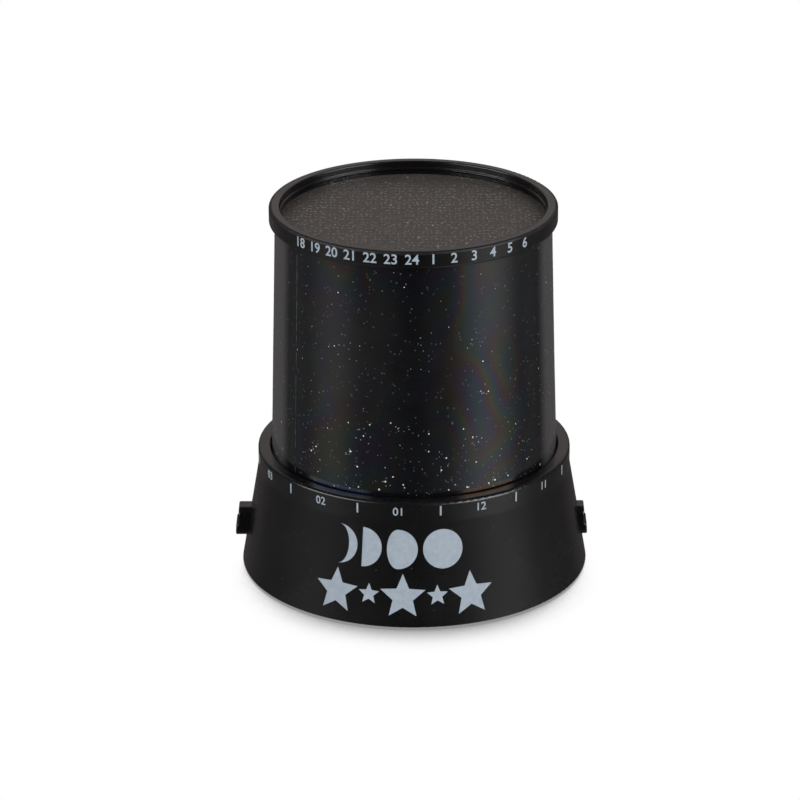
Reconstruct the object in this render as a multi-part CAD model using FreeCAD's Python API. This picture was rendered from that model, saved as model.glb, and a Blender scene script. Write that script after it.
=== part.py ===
import FreeCAD
import Part
import math
import os

# Table-top star projector. A cone-shaped base holds three AA cells, the driver board, two push
# switches and a power socket. A light deck in its top carries four LEDs on a small tower. Over them
# stands the star drum, a tapered sleeve of star film between a foot ring and a bezel, which turns
# on a ring in the base and lifts off it.
# Lengths are in millimetres. The table is at z = 0, the drum's axis is Z, and the front faces -Y.

# ---- Overall form --------------------------------------------------------------------------------
total_height = 125.0
rim_height = 42.0           # top ledge of the base above the table
base_radius = 57.5          # cone at its lower edge
rim_radius = 51.6           # upright collar at the top of the base
drum_foot_radius = 47.1     # star sleeve where it meets the top ledge
drum_top_radius = 44.9      # star sleeve where it meets the bezel
drum_gap = 0.4              # open groove between the sleeve and the ledge

# ---- Clearances ----------------------------------------------------------------------------------
run_gap = 0.35              # between pieces that move past each other
fit_gap = 0.2               # between pieces that are assembled and stay
touch_gap = 0.05            # between a stop and what rests against it
pin_gap = 0.06              # round a hinge pin, a plunger's bore or a screw's shank

# ---- Base shell ----------------------------------------------------------------------------------
shell_wall = 2.0
shell_lift = 0.8            # lower edge of the cone above the table
rim_rounding = 1.0
collar_height = 6.8         # from the cone's upper end to the top ledge
recess_depth = 4.0          # from the top ledge down to the shelf that the drum turns on
shelf_thickness = 2.2
shelf_bore = 40.0           # radius of the hole inside the shelf
pillar_radius = 3.1
pillar_count = 4
pillar_first_angle = 45.0
pillar_rib = 1.6
screw_shank = 1.2           # radius of the case screws
screw_grip = 9.0            # length of a case screw in its pillar
screw_head = 2.5
screw_head_height = 1.3

# ---- Bottom cover, battery bay and door ----------------------------------------------------------
cover_lift = 1.4            # underside of the cover above the table
cover_thickness = 3.0
head_recess = 1.5           # depth of the recess for a case screw's head
foot_radius = 4.5
foot_seat = 0.8             # depth of a rubber foot's recess
foot_margin = 3.2           # from a foot to the cover's edge
foot_count = 4
cell_radius = 7.25
cell_length = 50.5
cell_gap = 0.5              # between neighbouring cells
cell_count = 3
cap_radius = 2.75           # positive cap of a cell
cap_height = 1.0
bay_wall = 1.6
bay_margin = 0.3            # between the outer cells and the bay's walls, and over the cells
contact_thickness = 0.4
contact_width = 9.0
contact_height = 10.0
contact_tab_width = 4.0
contact_tab_rise = 2.0      # solder tab above the bay's roof
spring_room = 4.3           # space for a contact spring at each cell
spring_radius = 3.0
spring_wire = 0.35
spring_turns = 3.0
door_thickness = 1.6
door_margin = 2.2           # door past the bay's opening at each side
door_rib = 0.8              # ribs on the door that the cells lie on
door_rib_width = 1.6
hinge_pin_radius = 0.75
hinge_pin_length = 1.8
hinge_barrel_radius = 1.2
latch_width = 12.0
latch_height = 3.0
latch_thickness = 1.2
thumb_notch_radius = 6.0

# ---- Control board -------------------------------------------------------------------------------
board_thickness = 1.6
control_board_length = 36.0
control_board_width = 26.0
post_height = 3.0
post_radius = 2.2
post_inset = 3.0            # post's centre in from the board's edges
board_screw_shank = 0.8
board_screw_head = 1.6
board_screw_head_height = 1.1
board_screw_grip = 2.4
board_margin = 1.2          # bare edge of the board beside its parts
chip_radius = 4.6
chip_height = 1.8
capacitor_radius = 2.5
capacitor_height = 6.5
resistor_radius = 0.9
resistor_length = 4.6
resistor_reach = 1.3        # lead past each end of a resistor
resistor_lead = 0.3
resistor_pitch = 3.2
resistor_count = 4

# ---- Push buttons and switches -------------------------------------------------------------------
button_centre_height = 14.2
button_height = 9.8
button_width = 9.8
button_corner = 3.0
button_proud = 3.55         # outer face past the cone when the button is out, at its middle
button_lean = 3.4           # face's tilt from upright, in degrees
button_edge = 0.5
button_wall = 1.6
button_ledge_proud = 0.6    # thumb ledge on the lower part of the face
button_ledge_height = 4.0
button_flange = 1.2
button_flange_overhang = 1.1
tunnel_wall = 1.4
tunnel_reach = 2.2          # tunnel inside the cone's wall, at its shallowest
button_travel = 2.4         # full stroke
latched_depth = 1.9         # where the right-hand button is latched
plunger_side = 3.0
plunger_tip = 4.0           # length of plunger held in the button's socket
plunger_tail = 4.2          # length of plunger in the switch when the button is out
socket_wall = 1.4
switch_side = 8.5
switch_length = 8.5
coil_radius = 2.75
coil_wire = 0.2
coil_turns = 3.0
coil_solid_length = 1.8     # room that the closed spring needs
switch_board_width = 16.0
switch_board_height = 20.0
switch_pin_radius = 0.4
switch_pin_pitch = 2.5
switch_pin_reach = 1.6      # pin past the board
slot_rib = 2.2              # ribs that hold the switch board's edges
slot_depth = 1.0
slot_rib_height = 13.0

# ---- Power socket --------------------------------------------------------------------------------
socket_centre_height = 14.0
socket_nose_radius = 3.0
socket_bore_radius = 1.85
socket_depth = 9.0
socket_pin_radius = 0.65
socket_pin_recess = 1.0     # pin's tip behind the nose
socket_pin_root = 1.5       # rooted length behind the bore
socket_pin_root_radius = 0.9
socket_body_width = 9.0
socket_body_height = 7.0
socket_body_length = 12.0
socket_nose_setback = 0.3   # nose behind the cone's surface
socket_tab_width = 1.8
socket_tab_length = 3.0
socket_tab_thickness = 0.4

# ---- Light deck, LED tower and LEDs --------------------------------------------------------------
deck_thickness = 1.6
deck_flange_thickness = 1.8
deck_flange_overlap = 3.0   # flange past the shelf's bore
deck_ear_radius = 3.2
deck_ear_gap = 0.5          # between a boss for an ear and the turning ring's snap edge
deck_ear_count = 3
deck_screw_grip = 2.6
tower_height = 15.3         # above the deck
tower_top_radius = 12.0
tower_foot_radius = 14.0
tower_wall = 1.6
led_radius = 2.5
led_flange_radius = 2.9
led_flange_height = 1.0
led_height = 8.7
led_stand = 0.4             # LED's flange above its board
led_offset = 4.5            # LED's centre from the axis along X and along Y
led_pin_radius = 0.25
led_pin_spacing = 2.54
led_pin_tail = 1.2          # pin below its board
led_post_height = 1.8       # posts under the tower's top that the LED board is screwed to
led_post_radius = 1.8
led_post_offset = 7.4
led_screw_grip = 2.4

# ---- Turning ring --------------------------------------------------------------------------------
glide_gap = 0.2             # ring above its shelf
ring_floor = 1.5
ring_skirt = 1.4
ring_snap_height = 1.0
ring_snap_reach = 0.9       # snap edge past the shelf's bore
dowel_radius = 1.2
dowel_count = 3

# ---- Star drum -----------------------------------------------------------------------------------
film_thickness = 0.4
foot_ring_thickness = 3.6
foot_ring_top = 1.2         # foot ring above the ledge of the base
bezel_height = 5.6
bezel_overhang = 1.85       # bezel past the sleeve
bezel_face = 3.45           # from the bezel's outside to its inner wall
bezel_edge = 0.8            # rounding of the outer top edge
bezel_inner_edge = 0.5
bezel_lower_edge = 0.9
bead_depth = 2.7            # bead on the bezel's inner wall, below the crown
bead_reach = 0.5
disc_recess = 4.5           # star disc below the bezel's crown
disc_thickness = 0.3
clamp_width = 3.0
clamp_height = 1.6
seam_width = 5.0
seam_angle = 214.0          # where the sleeve's overlap lies, from +X

# ---- Leads ---------------------------------------------------------------------------------------
lead_radius = 0.6
lead_stub = 4.2             # stretch where a lead leaves a joint
lead_crest_share = 0.6      # height of a lead's crest, as a share of the way from board to deck
lead_bend_share = 0.28      # share of the crest's height at which a lead has turned downwards
lead_clearance = 2.0        # between a lead and the bay's shoulder
harness_pitch = 1.6
harness_count = 5
harness_radius = 0.54
harness_slack = 4.8         # sideways bend of the LED harness
harness_bends = (0.22, 0.52, 0.78)  # heights of its three bends, as shares of its rise

# ---- Heights that follow -------------------------------------------------------------------------
collar_bottom = rim_height - collar_height
shelf_top = rim_height - recess_depth
shelf_bottom = shelf_top - shelf_thickness
shelf_middle = (shelf_top + shelf_bottom) / 2
cover_top = cover_lift + cover_thickness
door_top = cover_lift + door_thickness
cell_centre_height = door_top + door_rib + cell_radius
bay_roof_bottom = cell_centre_height + cell_radius + bay_margin
bay_roof_top = bay_roof_bottom + bay_wall
board_bottom = bay_roof_top + post_height
board_top = board_bottom + board_thickness
ring_bottom = shelf_top + glide_gap
ring_top = ring_bottom + ring_floor
snap_top = shelf_bottom - run_gap
snap_bottom = snap_top - ring_snap_height
deck_flange_top = snap_bottom - run_gap
deck_flange_bottom = deck_flange_top - deck_flange_thickness
deck_top = shelf_top + glide_gap
deck_bottom = deck_top - deck_thickness
tower_top = deck_top + tower_height
tower_roof = tower_top - deck_thickness
led_board_top = tower_roof - led_post_height
led_board_bottom = led_board_top - board_thickness
lead_crest = board_top + lead_crest_share * (deck_bottom - board_top)
lead_drop = lead_bend_share * (lead_crest - board_top)
bezel_bottom = total_height - bezel_height
disc_top = total_height - disc_recess
disc_bottom = disc_top - disc_thickness
sleeve_bottom = ring_top + run_gap
sleeve_top = disc_top - fit_gap
foot_ring_bottom = ring_top + fit_gap

# ---- Radii and half lengths that follow ----------------------------------------------------------
cell_pitch = 2 * cell_radius + cell_gap
bay_half_width = cell_count * cell_pitch / 2 + bay_margin
bay_half_length = (cell_length + spring_room) / 2 + contact_thickness
door_half_width = bay_half_width + door_margin
door_half_length = bay_half_length + door_margin
hinge_y = -door_half_length
hinge_z = cover_lift + hinge_barrel_radius + touch_gap
hinge_pocket = hinge_z - cover_lift + run_gap
screw_bore = screw_shank + pin_gap
board_screw_bore = board_screw_shank + pin_gap


def cone_radius(z, inset=0.0):
    """Radius of the base's cone and collar at a height, or of a surface that far inside it."""
    share = min((z - shell_lift) / (collar_bottom - shell_lift), 1)
    return base_radius - (base_radius - rim_radius) * share - inset


def sleeve_radius(z, inset=0.0):
    """Radius of the star sleeve's outside at a height, or of a surface that far inside it."""
    share = (z - rim_height) / (bezel_bottom - rim_height)
    return drum_foot_radius + (drum_top_radius - drum_foot_radius) * share - inset


recess_radius = drum_foot_radius + drum_gap
ring_radius = recess_radius - run_gap
ring_skirt_radius = shelf_bore - run_gap
ring_skirt_bore = ring_skirt_radius - ring_skirt
deck_radius = ring_skirt_bore - run_gap
deck_flange_radius = shelf_bore + deck_flange_overlap
deck_ear_circle = shelf_bore + ring_snap_reach + deck_ear_gap + deck_ear_radius
pillar_circle = cone_radius(shelf_bottom, shell_wall) - pillar_radius - fit_gap
cover_radius = cone_radius(cover_top, shell_wall) - fit_gap
foot_circle = cover_radius - foot_margin - foot_radius
foot_ring_radius = sleeve_radius(foot_ring_bottom, film_thickness)
dowel_circle = foot_ring_radius - foot_ring_thickness / 2
bezel_radius = drum_top_radius + bezel_overhang
bezel_bore = bezel_radius - bezel_face

# ---- Places of the switch parts along +X, worked inwards from the cone ---------------------------
tunnel_half_width = button_width / 2 + run_gap + tunnel_wall
tunnel_half_height = button_height / 2 + run_gap + tunnel_wall
tunnel_end = (
    cone_radius(button_centre_height + tunnel_half_height, shell_wall)
    - tunnel_half_width ** 2 / (2 * rim_radius)
    - tunnel_reach
)
button_face = cone_radius(button_centre_height) + button_proud
flange_front = tunnel_end - touch_gap
flange_back = flange_front - button_flange
switch_front = flange_back - button_travel - coil_solid_length
switch_back = switch_front - switch_length
switch_board_back = switch_back - board_thickness
plunger_end = switch_front - plunger_tail
plunger_point = flange_back + plunger_tip

# ---- Places of the socket parts along +Y ---------------------------------------------------------
socket_nose = cone_radius(socket_centre_height) - socket_nose_setback
socket_front = (
    cone_radius(socket_centre_height + socket_body_height / 2, shell_wall)
    - socket_body_width ** 2 / (8 * rim_radius)
    - fit_gap
)
socket_back = socket_front - socket_body_length


# ---- Shape helpers -------------------------------------------------------------------------------
def vector(x, y, z):
    return FreeCAD.Vector(x, y, z)


ORIGIN, ALONG_X, ALONG_Y, ALONG_Z = vector(0, 0, 0), vector(1, 0, 0), vector(0, 1, 0), vector(0, 0, 1)


def outline(points, roundings):
    """Closed wire through the points, each corner rounded as far as its edges allow."""
    bends = []
    for i, here in enumerate(points):
        back = points[i - 1] - here
        on = points[(i + 1) % len(points)] - here
        half = back.getAngle(on) / 2
        reach = min(roundings[i] / math.tan(half), 0.48 * min(back.Length, on.Length))
        back.normalize()
        on.normalize()
        middle = (back + on).normalize()
        radius = reach * math.tan(half)
        inmost = here + middle * (radius / math.sin(half) - radius)
        bends.append((here + back * reach, inmost, here + on * reach, roundings[i] > 0))
    edges = []
    for i, (start, inmost, end, rounded) in enumerate(bends):
        if rounded:
            edges.append(Part.Arc(start, inmost, end).toShape())
        following = bends[(i + 1) % len(bends)][0]
        if end.distanceToPoint(following) > 1e-6:
            edges.append(Part.LineSegment(end, following).toShape())
    return Part.Wire(edges)


def turned(*corners):
    """Solid of revolution about Z from (radius, height) or (radius, height, rounding) corners."""
    points = [vector(c[0], 0, c[1]) for c in corners]
    roundings = [c[2] if len(c) > 2 else 0.0 for c in corners]
    return Part.Face(outline(points, roundings)).revolve(ORIGIN, ALONG_Z, 360)


def block(low, high):
    """Box between two corners."""
    sides = [b - a for a, b in zip(low, high)]
    return Part.makeBox(*sides, vector(*low))


def rod(radius, start, length, direction=ALONG_Z):
    """Round bar from a point along a direction."""
    return Part.makeCylinder(radius, length, vector(*start), direction)


def rounded_bar(width, height, corner, start, length):
    """Bar along +X with a rounded rectangle, width along Y and height along Z, as its section."""
    x, y, z = start
    corners = [(-1, -1), (1, -1), (1, 1), (-1, 1)]
    points = [vector(x, y + width / 2 * a, z + height / 2 * b) for a, b in corners]
    return Part.Face(outline(points, [corner] * 4)).extrude(vector(length, 0, 0))


def spun(shape, angle):
    """Copy turned about Z, in degrees."""
    copy = shape.copy()
    copy.rotate(ORIGIN, ALONG_Z, angle)
    return copy


def around(shape, count, first_angle=0.0):
    """Copies spaced evenly about Z."""
    return [spun(shape, first_angle + 360.0 * i / count) for i in range(count)]


def joined(first, *others):
    """One clean solid from shapes that overlap."""
    return first.fuse(list(others)).removeSplitter()


def coil(radius, wire, turns, start, length, direction):
    """Round wire wound along a direction, inside the given length."""
    rise = length - 2 * wire
    helix = Part.makeLongHelix(rise / turns, rise, radius)
    section = Part.Wire(Part.Circle(vector(radius, 0, 0), ALONG_Y, wire).toShape())
    spring = Part.Wire(helix).makePipeShell([section], True, True)
    spring.translate(vector(0, 0, wire))
    spring.Placement = FreeCAD.Placement(
        vector(*start), FreeCAD.Rotation(ALONG_Z, direction)
    ).multiply(spring.Placement)
    return spring


def lead(points, radius=lead_radius):
    """Insulated wire along straight runs joined by arcs as large as the runs allow."""
    spots = [vector(*p) for p in points]
    edges, bends, end = [], [], spots[0]
    for before, here, after in zip(spots, spots[1:], spots[2:]):
        back, on = before - here, after - here
        half = back.getAngle(on) / 2
        reach = 0.45 * min(back.Length, on.Length)
        bend = reach * math.tan(half)
        back.normalize()
        on.normalize()
        middle = (back + on).normalize()
        start, finish = here + back * reach, here + on * reach
        inmost = here + middle * (bend / math.sin(half) - bend)
        edges.append(Part.LineSegment(end, start).toShape())
        edges.append(Part.Arc(start, inmost, finish).toShape())
        bends.append(round(bend, 1))
        end = finish
    edges.append(Part.LineSegment(end, spots[-1]).toShape())
    print("lead of radius", radius, "bends at", bends)
    section = Part.Wire(Part.Circle(spots[0], spots[1] - spots[0], radius).toShape())
    return Part.Wire(edges).makePipeShell([section], True, False)


def screw(shank, head, head_height, start, length, direction=ALONG_Z):
    """Pan-head screw with a cross slot, its shank from the start along the direction."""
    made = joined(rod(shank, (0, 0, 0), length), rod(head, (0, 0, -head_height), head_height))
    slot = head / 4
    for across, along in ((slot / 2, head * 0.7), (head * 0.7, slot / 2)):
        made = made.cut(
            block((-across, -along, -head_height), (across, along, -head_height * 0.45))
        )
    made.Placement = FreeCAD.Placement(vector(*start), FreeCAD.Rotation(ALONG_Z, direction))
    return made


def save(name, *solids):
    """Writes one node, a single solid or a group of separate ones."""
    shape = solids[0] if len(solids) == 1 else Part.makeCompound(list(solids))
    good = shape.isValid() and all(s.Volume > 0 for s in shape.Solids)
    state = "" if good else "BAD"
    print(f"{name:26s} solids {len(shape.Solids):2d}  volume {shape.Volume:10.1f}  {state}")
    shape.exportStep(f"parts/{name}.step")


# ---- Base shell: one moulding with the cone, the ledge, the shelf and the inner pillars ----------
def cone_core(inset):
    """Solid cone that far inside the base's surface, for trimming ribs and tunnels."""
    return turned(
        (0, shell_lift),
        (cone_radius(shell_lift, inset), shell_lift),
        (cone_radius(shelf_middle, inset), shelf_middle),
        (0, shelf_middle),
    )


def base_shell():
    skin = turned(
        (base_radius, shell_lift, shell_wall / 6),
        (rim_radius, collar_bottom, collar_height / 2),
        (rim_radius, rim_height, rim_rounding),
        (recess_radius, rim_height, shell_wall / 4),
        (recess_radius, shelf_top),
        (shelf_bore, shelf_top),
        (shelf_bore, shelf_bottom),
        (cone_radius(shelf_bottom, shell_wall), shelf_bottom, shell_wall / 2),
        (base_radius - shell_wall, shell_lift),
    )
    core = cone_core(shell_wall / 2)
    rise = shelf_middle - cover_top
    pillar = rod(pillar_radius, (pillar_circle, 0, cover_top), rise)
    rib = block(
        (pillar_circle, -pillar_rib / 2, cover_top),
        (base_radius, pillar_rib / 2, cover_top + rise),
    ).common(core)
    pillars = around(joined(pillar, rib), pillar_count, pillar_first_angle)
    boss = rod(deck_ear_radius, (deck_ear_circle, 0, deck_flange_top), shelf_middle - deck_flange_top)
    bosses = around(boss, deck_ear_count, 90.0)
    tunnel = block(
        (tunnel_end, -tunnel_half_width, button_centre_height - tunnel_half_height),
        (base_radius, tunnel_half_width, button_centre_height + tunnel_half_height),
    ).common(core)
    shell = joined(skin, *pillars, *bosses, *around(tunnel, 2))

    window = rounded_bar(
        button_width + 2 * run_gap,
        button_height + 2 * run_gap,
        button_corner + run_gap,
        (tunnel_end - tunnel_reach, 0, button_centre_height),
        base_radius - tunnel_end + 2 * tunnel_reach,
    )
    pilot = rod(screw_bore, (pillar_circle, 0, cover_top), screw_grip + touch_gap)
    deck_pilot = rod(
        board_screw_bore, (deck_ear_circle, 0, deck_flange_top), deck_screw_grip + touch_gap
    )
    socket_hole = rod(
        socket_nose_radius + fit_gap,
        (0, socket_front - shell_wall, socket_centre_height),
        base_radius - socket_front + 2 * shell_wall,
        ALONG_Y,
    )
    return shell.cut(
        around(window, 2)
        + around(pilot, pillar_count, pillar_first_angle)
        + around(deck_pilot, deck_ear_count, 90.0)
        + [socket_hole]
    )


def case_screws():
    one = screw(
        screw_shank,
        screw_head,
        screw_head_height,
        (pillar_circle, 0, cover_lift + head_recess),
        cover_thickness - head_recess + screw_grip,
    )
    return around(one, pillar_count, pillar_first_angle)


# ---- Bottom cover: the plate, the battery bay, and the ribs and pads that hold what stands on it --
def bay_posts():
    """Centres of the posts under the control board's corners."""
    x = control_board_length / 2 - post_inset
    y = control_board_width / 2 - post_inset
    return [(-x, -y), (x, y), (-x, y), (x, -y)]


def bottom_cover():
    plate = turned(
        (0, cover_lift),
        (cover_radius, cover_lift, cover_thickness / 6),
        (cover_radius, cover_top),
        (0, cover_top),
    )
    outer_x, outer_y = bay_half_width + bay_wall, bay_half_length + bay_wall
    bay = block((-outer_x, -outer_y, cover_lift), (outer_x, outer_y, bay_roof_top))
    post_length = board_bottom - bay_roof_bottom
    posts = [rod(post_radius, (x, y, bay_roof_bottom), post_length) for x, y in bay_posts()]
    rib_inner = switch_board_width / 2 - slot_depth
    ribs = []
    for side in (-1, 1):
        for end in (-1, 1):
            ys = sorted((end * rib_inner, end * (rib_inner + slot_depth + slot_rib)))
            xs = sorted(
                (side * (switch_board_back - slot_rib), side * (switch_back + slot_rib))
            )
            ribs.append(
                block((xs[0], ys[0], cover_lift), (xs[1], ys[1], cover_top + slot_rib_height))
            )
    socket_pad = block(
        (-socket_body_width / 2, socket_back, cover_lift + cover_thickness / 2),
        (socket_body_width / 2, socket_front, socket_centre_height - socket_body_height / 2),
    )
    cover = joined(plate, bay, *posts, *ribs, socket_pad)

    room = block(
        (-bay_half_width, -bay_half_length, cover_lift - 1),
        (bay_half_width, bay_half_length, bay_roof_bottom),
    )
    rebate = block(
        (-door_half_width - run_gap, hinge_y - hinge_pocket, cover_lift - 1),
        (door_half_width + run_gap, door_half_length + run_gap, door_top + run_gap),
    )
    barrel_room = block(
        (-door_half_width - run_gap, hinge_y - hinge_pocket, cover_lift - 1),
        (door_half_width + run_gap, hinge_y + hinge_pocket, hinge_z + hinge_barrel_radius + run_gap),
    )
    pin_length = 2 * (door_half_width + hinge_pin_length + run_gap)
    pin_hole = rod(hinge_pin_radius + pin_gap, (-pin_length / 2, hinge_y, hinge_z), pin_length, ALONG_X)
    notch = rod(
        thumb_notch_radius,
        (0, door_half_length, cover_lift - 1),
        1 + cover_thickness / 3,
    )
    latch_room = block(
        (-latch_width / 2 - run_gap, bay_half_length - latch_thickness, cover_lift),
        (latch_width / 2 + run_gap, bay_half_length + run_gap, door_top + latch_height + run_gap),
    )
    slots = [
        block(
            (x - contact_tab_width / 2 - fit_gap, min(a, b), bay_roof_bottom - 1),
            (x + contact_tab_width / 2 + fit_gap, max(a, b), bay_roof_top + 1),
        )
        for x, end in terminal_places()
        for a, b in [(end * bay_half_length, end * (bay_half_length - contact_thickness - fit_gap))]
    ]
    grooves = []
    for side in (-1, 1):
        xs = sorted((side * (switch_board_back - touch_gap), side * (switch_back + touch_gap)))
        half = switch_board_width / 2 + touch_gap
        grooves.append(
            block((xs[0], -half, cover_top), (xs[1], half, cover_top + slot_rib_height + 1))
        )
    post_pilots = [
        rod(
            board_screw_bore,
            (x, y, board_bottom - board_screw_grip - touch_gap),
            board_screw_grip + 1,
        )
        for x, y in bay_posts()[:2]
    ]
    screw_hole = rod(screw_bore, (pillar_circle, 0, cover_lift - 1), cover_thickness + 2)
    head_hole = rod(screw_head + fit_gap, (pillar_circle, 0, cover_lift - 1), 1 + head_recess)
    foot_hole = rod(foot_radius + touch_gap, (foot_circle, 0, cover_lift - 1), 1 + foot_seat)
    return cover.cut(
        [room, rebate, barrel_room, pin_hole, notch, latch_room]
        + slots
        + grooves
        + post_pilots
        + around(screw_hole, pillar_count, pillar_first_angle)
        + around(head_hole, pillar_count, pillar_first_angle)
        + around(foot_hole, foot_count)
    )


def rubber_feet():
    top = cover_lift + foot_seat
    one = turned((0, 0), (foot_radius, 0, cover_lift / 2), (foot_radius, top), (0, top))
    one.translate(vector(foot_circle, 0, 0))
    return around(one, foot_count)


def battery_door():
    plate = block(
        (-door_half_width, hinge_y, cover_lift),
        (door_half_width, door_half_length, door_top),
    )
    barrel = rod(
        hinge_barrel_radius, (-door_half_width, hinge_y, hinge_z), 2 * door_half_width, ALONG_X
    )
    pin_length = 2 * (door_half_width + hinge_pin_length)
    pin = rod(hinge_pin_radius, (-pin_length / 2, hinge_y, hinge_z), pin_length, ALONG_X)
    latch_outside = bay_half_length - touch_gap
    latch = block(
        (-latch_width / 2, latch_outside - latch_thickness + fit_gap, cover_lift),
        (latch_width / 2, latch_outside, door_top + latch_height),
    )
    rib_x = bay_half_width - 2 * bay_margin
    rib_y = cell_length / 4
    rib_top = door_top + door_rib - touch_gap
    ribs = [
        block(
            (-rib_x, y - door_rib_width / 2, door_top),
            (rib_x, y + door_rib_width / 2, rib_top),
        )
        for y in (-rib_y, rib_y)
    ]
    grip = rod(thumb_notch_radius, (0, door_half_length, cover_lift - 1), 1 + door_thickness / 3)
    return joined(plate, barrel, pin, latch, *ribs).cut(grip)


# ---- Cells and their contacts --------------------------------------------------------------------
def cell_places():
    """(x, end) of each cell; end is +1 or -1 for the way along Y that its positive cap points."""
    first = -(cell_count - 1) * cell_pitch / 2
    return [(first + i * cell_pitch, 1 if i % 2 == 0 else -1) for i in range(cell_count)]


def terminal_places():
    """(x, end) of the two contacts that carry leads: first cell's negative, last cell's positive."""
    first, last = cell_places()[0], cell_places()[-1]
    return [(first[0], -first[1]), last]


def cell(x, end):
    tip = bay_half_length - contact_thickness - touch_gap
    edge = cell_radius / 10
    body = turned(
        (0, 0),
        (cell_radius, 0, edge),
        (cell_radius, cell_length - cap_height, edge),
        (cap_radius, cell_length - cap_height),
        (cap_radius, cell_length, cap_height / 3),
        (0, cell_length),
    )
    body.Placement = FreeCAD.Placement(
        vector(x, end * (tip - cell_length), cell_centre_height),
        FreeCAD.Rotation(ALONG_Z, vector(0, end, 0)),
    )
    return body


def contact_plates():
    places = cell_places()
    low = cell_centre_height - contact_height / 2
    high = cell_centre_height + contact_height / 2

    def plate(x_low, x_high, end, z_low, z_high):
        ys = sorted((end * bay_half_length, end * (bay_half_length - contact_thickness)))
        return block((x_low, ys[0], z_low), (x_high, ys[1], z_high))

    half = contact_width / 2
    made = []
    for (x, end), (next_x, _) in zip(places, places[1:]):
        made.append(plate(x - half, next_x + half, end, low, high))
    for x, end in terminal_places():
        face = plate(x - half, x + half, end, low, high)
        tab_half = contact_tab_width / 2
        tab = plate(x - tab_half, x + tab_half, end, low, bay_roof_top + contact_tab_rise)
        made.append(joined(face, tab))
    return made


def contact_springs():
    made = []
    for x, end in cell_places():
        wall = bay_half_length - contact_thickness - touch_gap
        length = spring_room - 2 * touch_gap
        start = (x, -end * wall, cell_centre_height)
        along = vector(0, end, 0)
        made.append(coil(spring_radius, spring_wire, spring_turns, start, length, along))
    return made


# ---- Control board and what is soldered to it ----------------------------------------------------
def control_board():
    x, y = control_board_length / 2, control_board_width / 2
    board = block((-x, -y, board_bottom), (x, y, board_top))
    holes = [
        rod(board_screw_bore, (px, py, board_bottom - 1), board_thickness + 2)
        for px, py in bay_posts()[:2]
    ]
    return board.cut(holes)


def control_board_screws():
    return [
        screw(
            board_screw_shank,
            board_screw_head,
            board_screw_head_height,
            (x, y, board_top),
            board_thickness + board_screw_grip,
            vector(0, 0, -1),
        )
        for x, y in bay_posts()[:2]
    ]


def controller_chip():
    ball = (chip_radius ** 2 + chip_height ** 2) / (2 * chip_height)
    centre = vector(control_board_length / 4, chip_radius / 4, board_top + chip_height - ball)
    sphere = Part.makeSphere(ball, centre)
    slab = block(
        (-control_board_length, -control_board_width, board_top),
        (control_board_length, control_board_width, board_top + chip_height + 1),
    )
    return sphere.common(slab)


def capacitor():
    can = turned(
        (0, board_top),
        (capacitor_radius, board_top, capacitor_radius / 8),
        (capacitor_radius, board_top + capacitor_height, capacitor_radius / 5),
        (0, board_top + capacitor_height),
    )
    can.translate(vector(-control_board_length / 4, control_board_width / 4, 0))
    return can


def resistors():
    made = []
    height = board_top + resistor_radius + touch_gap
    span = resistor_length / 2 + resistor_reach
    centre_y = board_margin + span - control_board_width / 2
    for i in range(resistor_count):
        x = control_board_length / 3 - resistor_length / 2 - i * resistor_pitch
        start = (x, centre_y - resistor_length / 2, height)
        body = rod(resistor_radius, start, resistor_length, ALONG_Y)
        legs = [
            lead(
                [
                    (x, centre_y + side * span, board_top),
                    (x, centre_y + side * span, height),
                    (x, centre_y + side * resistor_length / 4, height),
                ],
                resistor_lead,
            )
            for side in (-1, 1)
        ]
        made.append(joined(body, *legs))
    return made


# ---- Push button, plunger, spring, switch and its board, built at +X -----------------------------
def button_cap(depth):
    """Hollow cap with a thumb ledge, pushed in by the given depth."""
    z = button_centre_height
    bottom, top = z - button_height / 2, z + button_height / 2
    lean = math.tan(math.radians(button_lean))

    def face(height):
        return button_face + lean * (z - height)

    far = button_face + button_height
    start = (flange_back, 0, z)
    body = rounded_bar(button_width, button_height, button_corner, start, far - flange_back)
    ledge_top = bottom + button_ledge_height
    beyond = [
        (face(bottom - 1) + button_ledge_proud, bottom - 1),
        (face(ledge_top) + button_ledge_proud, ledge_top),
        (face(ledge_top), ledge_top + button_ledge_proud),
        (face(top + 1), top + 1),
        (far + 1, top + 1),
        (far + 1, bottom - 1),
    ]
    points = [vector(x, -button_width, h) for x, h in beyond]
    body = body.cut(Part.Face(outline(points, [0] * 6)).extrude(vector(0, 2 * button_width, 0)))
    rim = []
    for edge in body.Edges:
        span = edge.BoundBox
        across = span.YLength > button_width / 2
        inside = abs(span.Center.z - z) < button_height / 2 - touch_gap
        if span.XMin > face(top) - touch_gap and not (across and inside):
            rim.append(edge)
    body = body.makeFillet(button_edge, rim)

    inner_end = face(top) - button_wall
    flange = rounded_bar(
        button_width + 2 * button_flange_overhang,
        button_height + 2 * button_flange_overhang,
        button_corner,
        (flange_back, 0, z),
        button_flange,
    )
    hollow = rounded_bar(
        button_width - 2 * button_wall,
        button_height - 2 * button_wall,
        button_corner - button_wall / 2,
        (flange_back - 1, 0, z),
        inner_end - flange_back + 1,
    )
    post = plunger_side / 2 + socket_wall
    socket_post = block(
        (flange_back, -post, z - post),
        (inner_end + button_wall / 2, post, z + post),
    )
    bore_half = plunger_side / 2 + touch_gap
    bore = block(
        (flange_back - 1, -bore_half, z - bore_half),
        (plunger_point + touch_gap, bore_half, z + bore_half),
    )
    cap = joined(joined(body, flange).cut(hollow), socket_post).cut(bore)
    cap.translate(vector(-depth, 0, 0))
    return cap


def plunger(depth):
    half = plunger_side / 2
    z = button_centre_height
    bar = block((plunger_end, -half, z - half), (plunger_point, half, z + half))
    bar.translate(vector(-depth, 0, 0))
    return bar


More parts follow.
